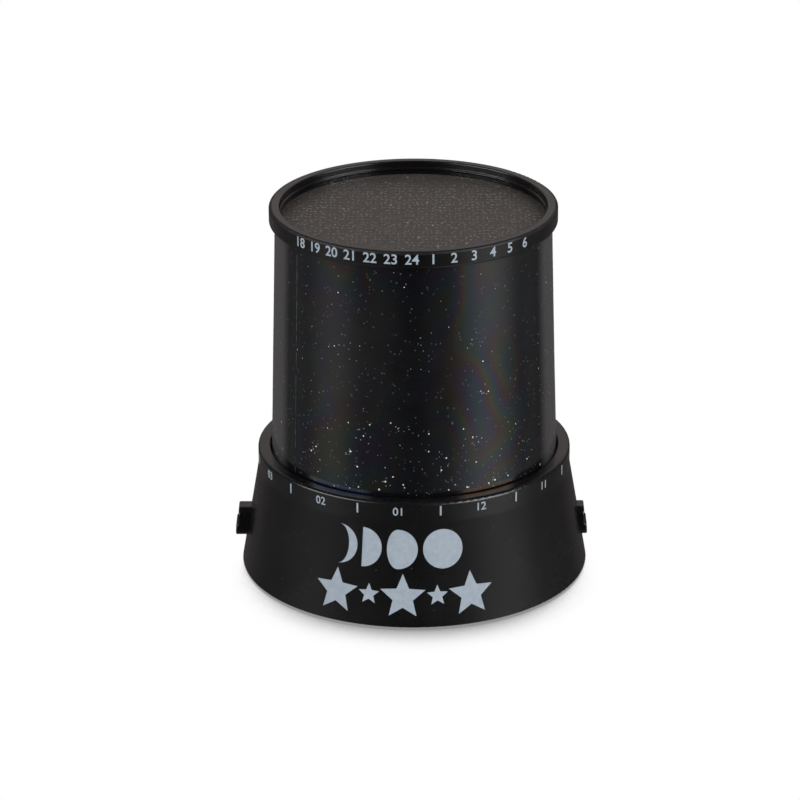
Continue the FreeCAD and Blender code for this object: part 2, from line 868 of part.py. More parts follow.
def return_spring(depth):
    start = (switch_front + touch_gap, 0, button_centre_height)
    length = flange_back - depth - switch_front - 2 * touch_gap
    return coil(coil_radius, coil_wire, coil_turns, start, length, ALONG_X)


def switch_body():
    half = switch_side / 2
    z = button_centre_height
    body = block((switch_back, -half, z - half), (switch_front, half, z + half))
    bore_half = plunger_side / 2 + pin_gap
    bore = block(
        (plunger_end - button_travel - fit_gap, -bore_half, z - bore_half),
        (switch_front + 1, bore_half, z + bore_half),
    )
    return body.cut(bore)


def switch_pin_places():
    return [
        (y * switch_pin_pitch, button_centre_height + z * switch_pin_pitch)
        for y in (-1, 1)
        for z in (-1, 0, 1)
    ]


def switch_pins():
    length = board_thickness + switch_pin_reach
    return [
        rod(switch_pin_radius, (switch_back - length, y, z), length, ALONG_X)
        for y, z in switch_pin_places()
    ]


def switch_board():
    half = switch_board_width / 2
    board = block(
        (switch_board_back, -half, cover_top + touch_gap),
        (switch_back, half, cover_top + touch_gap + switch_board_height),
    )
    hole_radius = switch_pin_radius + pin_gap
    holes = [
        rod(hole_radius, (switch_board_back - 1, y, z), board_thickness + 2, ALONG_X)
        for y, z in switch_pin_places()
    ]
    return board.cut(holes)


def save_switch(side, angle, depth):
    """Writes one side's button and switch, turned to its place, the button in by the depth."""
    save(f"{side}_button_cap", spun(button_cap(depth), angle))
    save(f"{side}_switch_plunger", spun(plunger(depth), angle))
    save(f"{side}_switch_spring", spun(return_spring(depth), angle))
    save(f"{side}_switch_body", spun(switch_body(), angle))
    save(f"{side}_switch_pins", *[spun(p, angle) for p in switch_pins()])
    save(f"{side}_switch_board", spun(switch_board(), angle))
    save(f"{side}_switch_leads", *[spun(w, angle) for w in switch_leads()])


# ---- Power socket --------------------------------------------------------------------------------
def socket_body():
    z = socket_centre_height
    half_x, half_z = socket_body_width / 2, socket_body_height / 2
    body = block((-half_x, socket_back, z - half_z), (half_x, socket_front, z + half_z))
    nose = rod(socket_nose_radius, (0, socket_back + 1, z), socket_nose - socket_back - 1, ALONG_Y)
    bore = rod(socket_bore_radius, (0, socket_nose - socket_depth, z), socket_depth + 1, ALONG_Y)
    root = rod(
        socket_pin_root_radius + pin_gap / 2,
        (0, socket_nose - socket_depth - socket_pin_root, z),
        socket_pin_root + 1,
        ALONG_Y,
    )
    return joined(body, nose).cut([bore, root])


def socket_pin():
    start = socket_nose - socket_depth
    length = socket_depth - socket_pin_recess
    pin = rod(socket_pin_radius, (0, start, socket_centre_height), length, ALONG_Y)
    tip = [edge for edge in pin.Edges if edge.BoundBox.YMin > start + length / 2]
    root_start = (0, start - socket_pin_root, socket_centre_height)
    root = rod(socket_pin_root_radius, root_start, socket_pin_root, ALONG_Y)
    return joined(pin.makeFillet(socket_pin_radius / 2, tip), root)


def socket_tab_places():
    return [-socket_body_width / 3, 0.0, socket_body_width / 3]


def socket_tabs():
    z = socket_centre_height
    return [
        block(
            (x - socket_tab_width / 2, socket_back - socket_tab_length, z - socket_tab_thickness / 2),
            (x + socket_tab_width / 2, socket_back, z + socket_tab_thickness / 2),
        )
        for x in socket_tab_places()
    ]


# ---- Light deck and LEDs -------------------------------------------------------------------------
def led_places():
    quarters = [(-1, -1), (1, -1), (1, 1), (-1, 1)]
    return [(a * led_offset, b * led_offset) for a, b in quarters]


def tower_bore(z):
    """Radius inside the tower at a height."""
    foot = tower_foot_radius - tower_wall
    top = tower_top_radius - tower_wall
    return foot + (top - foot) * (z - deck_bottom) / (tower_roof - deck_bottom)


def light_deck():
    deck = turned(
        (0, tower_top),
        (tower_top_radius, tower_top, tower_wall * 0.6),
        (tower_foot_radius, deck_top, tower_wall * 0.6),
        (deck_radius, deck_top, deck_thickness / 3),
        (deck_radius, deck_flange_top),
        (deck_flange_radius, deck_flange_top),
        (deck_flange_radius, deck_flange_bottom, deck_flange_thickness / 4),
        (deck_radius - deck_thickness, deck_flange_bottom),
        (deck_radius - deck_thickness, deck_bottom),
        (tower_foot_radius - tower_wall, deck_bottom),
        (tower_top_radius - tower_wall, tower_roof),
        (0, tower_roof),
    )
    ear_foot = (deck_ear_circle, 0, deck_flange_bottom)
    ear = rod(deck_ear_radius, ear_foot, deck_flange_thickness)
    web = block(
        (deck_flange_radius - deck_flange_overlap, -deck_ear_radius, deck_flange_bottom),
        (deck_ear_circle, deck_ear_radius, deck_flange_top),
    )
    ears = around(joined(ear, web), deck_ear_count, 90.0)
    post_length = led_post_height + deck_thickness / 2
    posts = [rod(led_post_radius, (x, 0, led_board_top), post_length) for x in led_post_places()]
    led_hole_radius = led_flange_radius + fit_gap
    holes = [
        rod(led_hole_radius, (x, y, tower_roof - 1), deck_thickness + 2) for x, y in led_places()
    ]
    pilots = [
        rod(board_screw_bore, (x, 0, led_board_top - 1), 1 + led_screw_grip + touch_gap)
        for x in led_post_places()
    ]
    ear_hole = rod(
        board_screw_bore,
        (deck_ear_circle, 0, deck_flange_bottom - 1),
        deck_flange_thickness + 2,
    )
    ear_holes = around(ear_hole, deck_ear_count, 90.0)
    return joined(deck, *ears, *posts).cut(holes + pilots + ear_holes)


def light_deck_screws():
    one = screw(
        board_screw_shank,
        board_screw_head,
        board_screw_head_height,
        (deck_ear_circle, 0, deck_flange_bottom),
        deck_flange_thickness + deck_screw_grip,
    )
    return around(one, deck_ear_count, 90.0)


def led_board():
    radius = tower_bore(led_board_top) - fit_gap
    board = rod(radius, (0, 0, led_board_bottom), board_thickness)
    low, length = led_board_bottom - 1, board_thickness + 2
    pin_holes = [rod(led_pin_radius + pin_gap, (x, y, low), length) for x, y in led_pin_places()]
    screw_holes = [rod(board_screw_bore, (x, 0, low), length) for x in led_post_places()]
    return board.cut(pin_holes + screw_holes)


def led_post_places():
    return [-led_post_offset, led_post_offset]


def led_board_screws():
    return [
        screw(
            board_screw_shank,
            board_screw_head,
            board_screw_head_height,
            (x, 0, led_board_bottom),
            board_thickness + led_screw_grip,
        )
        for x in led_post_places()
    ]


def led(x, y):
    foot = led_board_top + led_stand
    lens = turned(
        (0, foot),
        (led_flange_radius, foot),
        (led_flange_radius, foot + led_flange_height),
        (led_radius, foot + led_flange_height),
        (led_radius, foot + led_height, led_radius * 0.97),
        (0, foot + led_height),
    )
    lens.translate(vector(x, y, 0))
    return lens


def led_pin_places():
    half = led_pin_spacing / 2
    return [(x + side * half, y) for x, y in led_places() for side in (-1, 1)]


def led_pins():
    foot = led_board_top + led_stand
    low = led_board_bottom - led_pin_tail
    return [rod(led_pin_radius, (x, y, low), foot - low) for x, y in led_pin_places()]


# ---- Turning ring --------------------------------------------------------------------------------
def turning_ring():
    ring = turned(
        (ring_radius, ring_bottom),
        (ring_radius, ring_top, ring_floor / 4),
        (ring_skirt_bore, ring_top, ring_skirt / 4),
        (ring_skirt_bore, snap_bottom),
        (ring_skirt_radius, snap_bottom),
        (shelf_bore + ring_snap_reach, snap_bottom + ring_snap_height / 2, ring_snap_height / 8),
        (shelf_bore + ring_snap_reach, snap_top),
        (ring_skirt_radius, snap_top),
        (ring_skirt_radius, ring_bottom),
    )
    hole = rod(dowel_radius + run_gap, (dowel_circle, 0, ring_bottom - 1), ring_floor + 2)
    return ring.cut(around(hole, dowel_count, 90.0))


# ---- Star drum -----------------------------------------------------------------------------------
def star_sleeve():
    return turned(
        (sleeve_radius(sleeve_bottom), sleeve_bottom),
        (sleeve_radius(sleeve_top), sleeve_top),
        (sleeve_radius(sleeve_top, film_thickness), sleeve_top),
        (sleeve_radius(sleeve_bottom, film_thickness), sleeve_bottom),
    )


def seam_strip():
    """Tape behind the sleeve's overlap, from the foot ring up to the clamp ring."""
    low = rim_height + foot_ring_top + fit_gap
    high = disc_bottom - clamp_height - fit_gap
    inside, depth = film_thickness, film_thickness / 2
    tube = turned(
        (sleeve_radius(low, inside), low),
        (sleeve_radius(high, inside), high),
        (sleeve_radius(high, inside + depth), high),
        (sleeve_radius(low, inside + depth), low),
    )
    reach = drum_foot_radius + foot_ring_thickness
    wedge = block((0, -seam_width / 2, low - 1), (reach, seam_width / 2, high + 1))
    return spun(tube.common(wedge), seam_angle)


def foot_ring():
    top = rim_height + foot_ring_top
    bore = foot_ring_radius - foot_ring_thickness
    ring = turned(
        (foot_ring_radius, foot_ring_bottom),
        (sleeve_radius(top, film_thickness), top),
        (bore, top, foot_ring_thickness / 4),
        (bore, foot_ring_bottom),
    )
    length = foot_ring_bottom - ring_bottom
    dowel = rod(dowel_radius, (dowel_circle, 0, ring_bottom + fit_gap), length)
    return joined(ring, *around(dowel, dowel_count, 90.0))


def star_disc():
    return rod(sleeve_radius(disc_bottom, film_thickness) - fit_gap, (0, 0, disc_bottom), disc_thickness)


def clamp_ring():
    low = disc_bottom - clamp_height
    outside = sleeve_radius(disc_bottom, film_thickness)
    return turned(
        (sleeve_radius(low, film_thickness), low),
        (outside, disc_bottom),
        (outside - clamp_width, disc_bottom),
        (outside - clamp_width, low, clamp_height / 4),
    )


def bezel():
    groove = sleeve_radius(bezel_bottom) + fit_gap
    bead = total_height - bead_depth
    return turned(
        (groove, bezel_bottom),
        (bezel_radius, bezel_bottom, bezel_lower_edge),
        (bezel_radius, total_height, bezel_edge),
        (bezel_bore, total_height, bezel_inner_edge),
        (bezel_bore, bead + bead_reach, bead_reach / 2),
        (bezel_bore - bead_reach, bead, bead_reach / 2),
        (bezel_bore, bead - bead_reach),
        (bezel_bore, disc_top),
        (groove, disc_top),
    )


# ---- Leads ---------------------------------------------------------------------------------------
def shoulder_route(start, shoulder, end, height):
    """(distance from the axis, height) points from a joint over the bay's shoulder to the board."""
    over = lead_crest
    return [
        (start, height),
        (start - lead_stub, height),
        (shoulder + lead_clearance + lead_radius, (height + over) / 2 - lead_clearance),
        (shoulder - lead_clearance, over - lead_clearance),
        ((shoulder - lead_clearance + end) / 2, over),
        (end, over - lead_drop),
        (end, board_top),
    ]


def switch_leads():
    """Two leads from the +X switch's middle pins to the control board's edge."""
    start = switch_board_back - switch_pin_reach
    end = control_board_length / 2 - board_margin
    route = shoulder_route(start, bay_half_width + bay_wall, end, button_centre_height)
    return [lead([(x, side * switch_pin_pitch, z) for x, z in route]) for side in (-1, 1)]


def socket_leads():
    """Two leads from the socket's outer tabs to the control board's edge."""
    start = socket_back - socket_tab_length
    end = control_board_width / 2 - board_margin
    route = shoulder_route(start, bay_half_length + bay_wall, end, socket_centre_height)
    left, _, right = socket_tab_places()
    return [lead([(x, y, z) for y, z in route]) for x in (left, right)]


def battery_lead(x, end):
    """Lead from a terminal contact's solder tab to the control board's edge."""
    tab_y = bay_half_length - contact_thickness / 2
    board_y = control_board_width / 2 - board_margin
    board_x = math.copysign(control_board_length / 4, x)
    over = lead_crest
    tab_top = bay_roof_top + contact_tab_rise

    def between(share):
        return x + (board_x - x) * share, end * (tab_y + (board_y - tab_y) * share)

    return lead(
        [
            (*between(0), tab_top),
            (*between(0), tab_top + lead_stub),
            (*between(0.25), over - lead_clearance / 2),
            (*between(0.7), over),
            (*between(1), over - lead_drop),
            (*between(1), board_top),
        ]
    )


def led_harness():
    """Flat row of leads from the control board up the tower to the LED board."""
    made = []
    foot_y = -control_board_width / 8
    low, high = board_top, led_board_bottom
    rise = high - low
    first, second, third = harness_bends
    for i in range(harness_count):
        x = (i - (harness_count - 1) / 2) * harness_pitch
        route = [
            (x, foot_y, low),
            (x, foot_y, low + rise * first),
            (x, foot_y + harness_slack, low + rise * second),
            (x, 0, low + rise * third),
            (x, 0, high),
        ]
        made.append(lead(route, harness_radius))
    return made


def main():
    os.makedirs("parts", exist_ok=True)
    save("base_shell", base_shell())
    save("case_screws", *case_screws())
    save("bottom_cover", bottom_cover())
    save("rubber_feet", *rubber_feet())
    save("battery_door", battery_door())
    for number, (x, end) in enumerate(cell_places(), 1):
        save(f"battery_cell_{number}", cell(x, end))
    save("battery_contact_plates", *contact_plates())
    save("battery_contact_springs", *contact_springs())

    save("control_board", control_board())
    save("control_board_screws", *control_board_screws())
    save("controller_chip", controller_chip())
    save("control_board_capacitor", capacitor())
    save("control_board_resistors", *resistors())

    save_switch("right", 0.0, latched_depth)
    save_switch("left", 180.0, 0.0)

    save("power_socket_body", socket_body())
    save("power_socket_pin", socket_pin())
    save("power_socket_tabs", *socket_tabs())
    save("power_socket_leads", *socket_leads())

    save("light_deck", light_deck())
    save("light_deck_screws", *light_deck_screws())
    save("led_board", led_board())
    save("led_board_screws", *led_board_screws())
    for name, (x, y) in zip(("warm", "red", "green", "blue"), led_places()):
        save(f"led_{name}", led(x, y))
    save("led_pins", *led_pins())
    save("led_harness", *led_harness())

    for name, (x, end) in zip(("negative", "positive"), terminal_places()):
        save(f"battery_lead_{name}", battery_lead(x, end))

    save("turning_ring", turning_ring())
    save("star_sleeve", star_sleeve())
    save("sleeve_seam_strip", seam_strip())
    save("drum_foot_ring", foot_ring())
    save("star_disc", star_disc())
    save("disc_clamp_ring", clamp_ring())
    save("bezel", bezel())


main()
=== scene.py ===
import math
import random

import bmesh
import bpy
from mathutils import Matrix, Vector


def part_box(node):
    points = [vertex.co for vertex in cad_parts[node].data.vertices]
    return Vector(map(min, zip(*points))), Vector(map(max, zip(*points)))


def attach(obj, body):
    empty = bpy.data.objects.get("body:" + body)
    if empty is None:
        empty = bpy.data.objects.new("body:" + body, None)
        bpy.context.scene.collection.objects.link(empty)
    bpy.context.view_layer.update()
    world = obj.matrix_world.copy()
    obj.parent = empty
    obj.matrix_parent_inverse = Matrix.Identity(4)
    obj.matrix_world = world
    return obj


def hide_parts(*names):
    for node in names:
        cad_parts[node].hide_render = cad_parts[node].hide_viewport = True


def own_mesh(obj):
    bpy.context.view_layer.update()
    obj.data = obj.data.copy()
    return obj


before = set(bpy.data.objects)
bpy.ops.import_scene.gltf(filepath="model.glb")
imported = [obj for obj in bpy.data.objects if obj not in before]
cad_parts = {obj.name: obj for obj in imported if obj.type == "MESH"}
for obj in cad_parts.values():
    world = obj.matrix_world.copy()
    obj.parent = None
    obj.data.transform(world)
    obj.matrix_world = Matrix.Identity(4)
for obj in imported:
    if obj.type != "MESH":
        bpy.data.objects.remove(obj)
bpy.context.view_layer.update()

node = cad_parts


# ---- Base shell ----------------------------------------------------------------------------------
# One black ABS moulding: cone, collar, the ledge round the drum and the tunnels for the buttons.
# It was injection moulded in a lightly etched steel mould, so its skin is satin with a very fine
# grain, a little cloudy in its gloss, and slightly paler where the edges were handled.
MM = 0.001


def linear(colour):
    """An sRGB hex colour as linear red, green, blue and alpha."""
    shares = [int(colour[i:i + 2], 16) / 255 for i in (1, 3, 5)]
    return tuple(s / 12.92 if s <= 0.04045 else ((s + 0.055) / 1.055) ** 2.4 for s in shares) + (1,)


def plug(made, sockets):
    """Fills a node's sockets. Each takes a value, a hex colour, or the socket or node to link in;
    a node stands for the first of its outputs that is in use."""
    inputs = [socket for socket in made.inputs if socket.enabled]
    named = {socket.name: socket for socket in inputs}
    for name, given in sockets.items():
        socket = inputs[name] if isinstance(name, int) else named[name]
        if isinstance(given, bpy.types.Node):
            given = next(output for output in given.outputs if output.enabled)
        if isinstance(given, bpy.types.NodeSocket):
            made.id_data.links.new(given, socket)
        else:
            socket.default_value = linear(given) if isinstance(given, str) else given


def add(tree, kind, sockets=None, **settings):
    """Adds a shader node to a tree with its settings and fills its sockets."""
    made = tree.nodes.new("ShaderNode" + kind)
    for name, setting in settings.items():
        setattr(made, name, setting)
    plug(made, sockets or {})
    return made


def new_material(name, sockets):
    """A material with its node tree, its one Principled shader and the object's coordinates."""
    made = bpy.data.materials.new(name)
    made.use_nodes = True
    tree = made.node_tree
    tree.nodes.clear()
    shader = add(tree, "BsdfPrincipled", sockets)
    add(tree, "OutputMaterial", {"Surface": shader})
    return made, tree, shader, add(tree, "TexCoord").outputs["Object"]


def moulded(name, colour, worn, roughness, grain, relief, dust=0.35):
    """Moulded plastic with an etched grain, cloudy gloss, paler rubbed edges and a little dust."""
    made, tree, shader, place = new_material(name, {"IOR": 1.5})
    clouds = add(tree, "TexNoise", {"Vector": place, "Scale": 1 / (16 * MM), "Detail": 4})
    etch = add(tree, "TexNoise", {"Vector": place, "Scale": 1 / grain, "Detail": 2})
    rounded = add(tree, "Bevel", {"Radius": 0.35 * MM}, samples=4)
    flat = add(tree, "NewGeometry").outputs["Normal"]
    turn = add(tree, "VectorMath", {0: rounded, 1: flat}, operation="DOT_PRODUCT")
    edge = add(tree, "MapRange", {"Value": turn, "From Min": 0.995, "From Max": 0.9})
    handled = add(tree, "MapRange", {
        "Value": clouds, "From Min": 0.35, "From Max": 0.6, "To Min": 0.2, "To Max": 0.8,
    })
    rubbed = add(tree, "Math", {0: edge, 1: handled}, operation="MULTIPLY")
    specks = add(tree, "TexVoronoi", {"Vector": place, "Scale": 1 / (5 * MM)})
    speck = add(tree, "MapRange", {
        "Value": specks, "From Min": 0.045, "From Max": 0.02, "To Max": dust,
    })
    cloudy = add(tree, "MapRange", {"Value": clouds, "From Min": 0.3, "From Max": 0.7})
    shade = add(tree, "Mix", {"Factor": cloudy, "A": colour, "B": worn}, data_type="RGBA")
    faint = add(tree, "Math", {0: clouds, 1: 0.35}, operation="MULTIPLY")
    shade = add(tree, "Mix", {"Factor": faint, "A": colour, "B": shade}, data_type="RGBA")
    shade = add(tree, "Mix", {"Factor": rubbed, "A": shade, "B": worn}, data_type="RGBA")
    shade = add(tree, "Mix", {"Factor": speck, "A": shade, "B": "#8C8C88"}, data_type="RGBA")
    gloss = add(tree, "MapRange", {
        "Value": clouds, "From Min": 0.3, "From Max": 0.7,
        "To Min": roughness - 0.04, "To Max": roughness + 0.05,
    })
    bump = add(tree, "Bump", {"Distance": relief, "Height": etch, "Normal": rounded})
    plug(shader, {"Base Color": shade, "Roughness": gloss, "Normal": bump})
    return made


def finish(material, *names):
    """Gives CAD nodes their material."""
    for name in names:
        node[name].data.materials.clear()
        node[name].data.materials.append(material)


satin_abs = moulded(
    "satin_black_abs", "#0D0D0E", "#171718", roughness=0.25, grain=0.22 * MM, relief=0.002 * MM
)
finish(satin_abs, "base_shell")


# ---- Print on the base ---------------------------------------------------------------------------
# A scale of the months and a row of moons over a row of stars, pad-printed in pale ink after the
# shell was moulded. The ink is thin and matt, with a few pinholes and slightly soft edges.
cone_foot, collar_foot = (57.5, 0.8), (51.6, 35.2)    # radius and height, in mm
ink_thickness = 0.05


def base_radius(height):
    """Radius of the base's outside, in mm: the cone and the upright collar over it."""
    share = min((height - cone_foot[1]) / (collar_foot[1] - cone_foot[1]), 1)
    return cone_foot[0] + (collar_foot[0] - cone_foot[0]) * share


def on_round(radius, height, angle, lift=0.0):
    """A point in metres on a round surface; the angle is in degrees from the front to the right."""
    turn = math.radians(angle)
    out = radius(height) + lift
    return Vector((out * math.sin(turn), -out * math.cos(turn), height)) * MM


def flat_outline(name, points):
    """A flat figure from a closed outline in mm, as thick as ink."""
    drawing = bpy.data.curves.new(name, "CURVE")
    drawing.dimensions = "2D"
    drawing.fill_mode = "BOTH"
    drawing.extrude = ink_thickness
    line = drawing.splines.new("POLY")
    line.points.add(len(points) - 1)
    for point, (x, y) in zip(line.points, points):
        point.co = (x, y, 0, 1)
    line.use_cyclic_u = True
    return drawing


digit_share = 0.73             # height of a digit in the typeface, as a share of its size


def flat_number(text, height, weight):
    """Digits of a plain typeface, with their height in mm and their strokes thickened by weight."""
    drawing = bpy.data.curves.new(text, "FONT")
    drawing.body = text
    drawing.size = height / digit_share
    drawing.align_x = "CENTER"
    drawing.offset = weight
    drawing.extrude = ink_thickness
    drawing.resolution_u = 4
    return drawing


def print_round(name, figures, radius, material, body):
    """Wraps flat figures round a surface; each is (drawing, angle, height of its foot)."""
    made = bmesh.new()
    for drawing, angle, foot in figures:
        carrier = bpy.data.objects.new(name, drawing)
        bpy.context.scene.collection.objects.link(carrier)
        flat = bpy.data.meshes.new_from_object(
            carrier.evaluated_get(bpy.context.evaluated_depsgraph_get())
        )
        bpy.data.objects.remove(carrier)
        part = bmesh.new()
        part.from_mesh(flat)
        bmesh.ops.remove_doubles(part, verts=part.verts, dist=1e-4)
        for across in (Vector((1, 0, 0)), Vector((0, 1, 0))):
            reach = math.ceil(max(abs(v.co.dot(across)) for v in part.verts))
            for cut in range(-reach, reach + 1):
                bmesh.ops.bisect_plane(
                    part, geom=part.verts[:] + part.edges[:] + part.faces[:],
                    plane_co=across * cut, plane_no=across, dist=1e-5,
                )
        for vertex in part.verts:
            x, y, lift = vertex.co
            turn = angle + math.degrees(x / radius(foot + y))
            vertex.co = on_round(radius, foot + y, turn, lift)
        bent = bpy.data.meshes.new(name)
        part.to_mesh(bent)
        part.free()
        made.from_mesh(bent)
    mesh = bpy.data.meshes.new(name)
    made.to_mesh(mesh)
    made.free()
    mesh.materials.append(material)
    piece = bpy.data.objects.new(name, mesh)
    bpy.context.scene.collection.objects.link(piece)
    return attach(piece, body)


def ink(name, colour, thin):
    """Pad-printing ink: matt, a little uneven in cover, with pinholes."""
    made, tree, shader, place = new_material(name, {"Roughness": 0.55, "Specular IOR Level": 0.35})
    cover = add(tree, "TexNoise", {"Vector": place, "Scale": 1 / (1.6 * MM), "Detail": 5})
    holes = add(tree, "TexVoronoi", {"Vector": place, "Scale": 1 / (1.1 * MM)})
    full = add(tree, "MapRange", {"Value": cover, "From Min": 0.3, "From Max": 0.75})
    shade = add(tree, "Mix", {"Factor": full, "A": thin, "B": colour}, data_type="RGBA")
    hole = add(tree, "MapRange", {
        "Value": holes, "From Min": 0.11, "From Max": 0.05, "To Max": 0.5,
    })
    shade = add(tree, "Mix", {"Factor": hole, "A": shade, "B": "#5A6068"}, data_type="RGBA")
    bump = add(tree, "Bump", {"Strength": 0.5, "Distance": 0.01 * MM, "Height": cover})
    plug(shader, {"Base Color": shade, "Normal": bump})
    return made


pale_ink = ink("pale_blue_white_ink", "#A8B3BF", "#98A4B0")
star_waist = 0.45              # radius of a star's inner corners, as a share of its points'


def star_outline(size):
    """A five-pointed star, size high, standing on two points."""
    outer = size / (1 + math.cos(math.pi / 5))
    ring = [(outer, outer * star_waist)[i % 2] for i in range(10)]
    lift = outer * math.cos(math.pi / 5)
    return [
        (r * math.sin(math.pi * i / 5), lift + r * math.cos(math.pi * i / 5))
        for i, r in enumerate(ring)
    ]


def moon_outline(size, lit):
    """A moon, size high; lit is the width of its lit part, from -1 for a thin crescent to 1 for a
    full moon."""
    half = size / 2
    steps = 32
    right = [math.pi / 2 - math.pi * i / steps for i in range(steps + 1)]
    limb = [(half * math.cos(a), half + half * math.sin(a)) for a in right]
    back = [(-half * lit * math.cos(a), half + half * math.sin(a)) for a in reversed(right)]
    return limb + back[1:-1]


month_pitch = 30.0
first_tick = 9.4               # degrees from the front to the right
tick_width, tick_height, tick_foot = 0.56, 3.3, 37.4
month_height, month_weight, month_foot = 2.8, 0.035, 37.6
month_tick = [
    (-tick_width / 2, 0), (tick_width / 2, 0),
    (tick_width / 2, tick_height), (-tick_width / 2, tick_height),
]
month_scale = []
for step in range(12):
    angle = first_tick + step * month_pitch
    month_scale.append((flat_outline("month_tick", month_tick), angle, tick_foot))
    number = flat_number(f"{12 - step:02}", month_height, month_weight)
    month_scale.append((number, angle + month_pitch / 2, month_foot))
print_round("month_scale", month_scale, base_radius, pale_ink, "base")

moon_size, moon_foot, moon_gap = 12.8, 20.0, 1.7
angle_of_mm = math.degrees(1 / base_radius(moon_foot + moon_size / 2))
left_edge = -27.0              # where the row of moons starts, in degrees from the front
front_print = []
for lit in (-0.55, 0.0, 0.55, 1.0):
    middle = left_edge + moon_size / 2 * max(lit, 0) * angle_of_mm
    front_print.append((flat_outline("moon", moon_outline(moon_size, lit)), middle, moon_foot))
    left_edge = middle + (moon_size / 2 + moon_gap) * angle_of_mm
star_level = 11.6              # middle line of the row of stars
large_star, small_star = 13.8, 6.4
for angle, size in (
    (-26.8, large_star), (-15.3, small_star), (-3.9, large_star),
    (7.6, small_star), (19.0, large_star),
):
    front_print.append((flat_outline("star", star_outline(size)), angle, star_level - size / 2))
print_round("front_print", front_print, base_radius, pale_ink, "base")


# ---- Push buttons --------------------------------------------------------------------------------
# A hollow cap of polished black ABS on each side, clipped on its switch's plunger from inside.
# Fingers keep the caps glossy, so that their edges and thumb ledges catch the light.
gloss_abs = moulded(
    "polished_black_abs", "#0A0A0B", "#141415",
    roughness=0.22, grain=0.5 * MM, relief=0.001 * MM, dust=0.2,
)
finish(gloss_abs, "left_button_cap", "right_button_cap")


# ---- Switches behind the buttons -----------------------------------------------------------------
# Push-push switches: a black nylon body on its own small board, a natural nylon plunger, a spring
# of drawn steel wire, nickel-plated pins and two grey PVC leads soldered on.
black_nylon = moulded(
    "matt_black_nylon", "#161617", "#222223",
    roughness=0.58, grain=0.4 * MM, relief=0.01 * MM, dust=0,
)
white_nylon = moulded(
    "natural_nylon", "#C9C6BA", "#D8D6CC",
    roughness=0.45, grain=0.6 * MM, relief=0.004 * MM, dust=0,
)


def plated(name, colour, tarnish, roughness, grain):
    """Plated metal: bright, with drawn or rolled grain and a little tarnish."""
    made, tree, shader, place = new_material(name, {"Metallic": 1})
    stain = add(tree, "TexNoise", {"Vector": place, "Scale": 1 / (2.5 * MM), "Detail": 4})
    lines = add(tree, "TexNoise", {"Vector": place, "Scale": 1 / grain, "Detail": 2})
    dull = add(tree, "MapRange", {"Value": stain, "From Min": 0.4, "From Max": 0.75})
    shade = add(tree, "Mix", {"Factor": dull, "A": colour, "B": tarnish}, data_type="RGBA")
    gloss = add(tree, "MapRange", {
        "Value": lines, "From Min": 0.3, "From Max": 0.7,
        "To Min": roughness - 0.06, "To Max": roughness + 0.08,
    })
    plug(shader, {"Base Color": shade, "Roughness": gloss})
    return made


def insulation(name, colour, dull):
    """Extruded PVC insulation: smooth, slightly waxy, paler where it was bent."""
    made, tree, shader, place = new_material(name, {"Roughness": 0.38, "IOR": 1.53})
    smear = add(tree, "TexNoise", {"Vector": place, "Scale": 1 / (3 * MM), "Detail": 3})
    bent = add(tree, "MapRange", {"Value": smear, "From Min": 0.35, "From Max": 0.7})
    shade = add(tree, "Mix", {"Factor": bent, "A": colour, "B": dull}, data_type="RGBA")
    plug(shader, {"Base Color": shade})
    return made


def laminate(name, mask, edge, trace):
    """Circuit board: green solder mask over glass-epoxy, with copper tracks showing through."""
    made, tree, shader, place = new_material(name, {"Roughness": 0.32, "IOR": 1.52})
    tracks = add(
        tree, "TexVoronoi", {"Vector": place, "Scale": 1 / (3.2 * MM), "Randomness": 0.75},
        distance="MANHATTAN", feature="F2",
    )
    weave = add(tree, "TexNoise", {"Vector": place, "Scale": 1 / (0.5 * MM)})
    track = add(tree, "MapRange", {"Value": tracks, "From Min": 0.9, "From Max": 0.95})
    glass = add(tree, "MapRange", {
        "Value": weave, "From Min": 0.55, "From Max": 0.8, "To Max": 0.25,
    })
    shade = add(tree, "Mix", {"Factor": track, "A": mask, "B": trace}, data_type="RGBA")
    shade = add(tree, "Mix", {"Factor": glass, "A": shade, "B": edge}, data_type="RGBA")
    bump = add(tree, "Bump", {"Strength": 0.7, "Distance": 0.035 * MM, "Height": track})
    plug(shader, {"Base Color": shade, "Normal": bump})
    return made


nickel = plated("nickel_plate", "#C9C4B8", "#A39C8E", roughness=0.24, grain=0.3 * MM)
grey_pvc = insulation("grey_pvc", "#8A8B8C", "#9C9D9E")
green_board = laminate("green_circuit_board", "#14421F", edge="#5C6E3C", trace="#1E5A2C")
finish(black_nylon, "left_switch_body", "right_switch_body")
finish(white_nylon, "left_switch_plunger", "right_switch_plunger")
finish(nickel, "left_switch_spring", "right_switch_spring", "left_switch_pins", "right_switch_pins")
finish(green_board, "left_switch_board", "right_switch_board")
finish(grey_pvc, "left_switch_leads", "right_switch_leads")

# The left spring is copied into a piece of its own that rides on the base, in place of its CAD
# node. The switch body holds its inner end.
coil = bpy.data.objects.new("left_return_spring", node["left_switch_spring"].data.copy())
coil.matrix_world = node["left_switch_spring"].matrix_world
bpy.context.scene.collection.objects.link(coil)
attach(coil, "base")
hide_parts("left_switch_spring")
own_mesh(coil)


# ---- Power socket --------------------------------------------------------------------------------
# A barrel socket of black nylon on a pad of the bottom cover, its nose in a hole at the back. The
# centre pin and the three solder tabs are tinned brass.
tinned_brass = plated("tinned_brass", "#CFC6A6", "#AFA27C", roughness=0.3, grain=0.3 * MM)
red_pvc = insulation("red_pvc", "#8E1410", "#A52A22")
finish(black_nylon, "power_socket_body")
finish(tinned_brass, "power_socket_pin", "power_socket_tabs")
finish(red_pvc, "power_socket_leads")


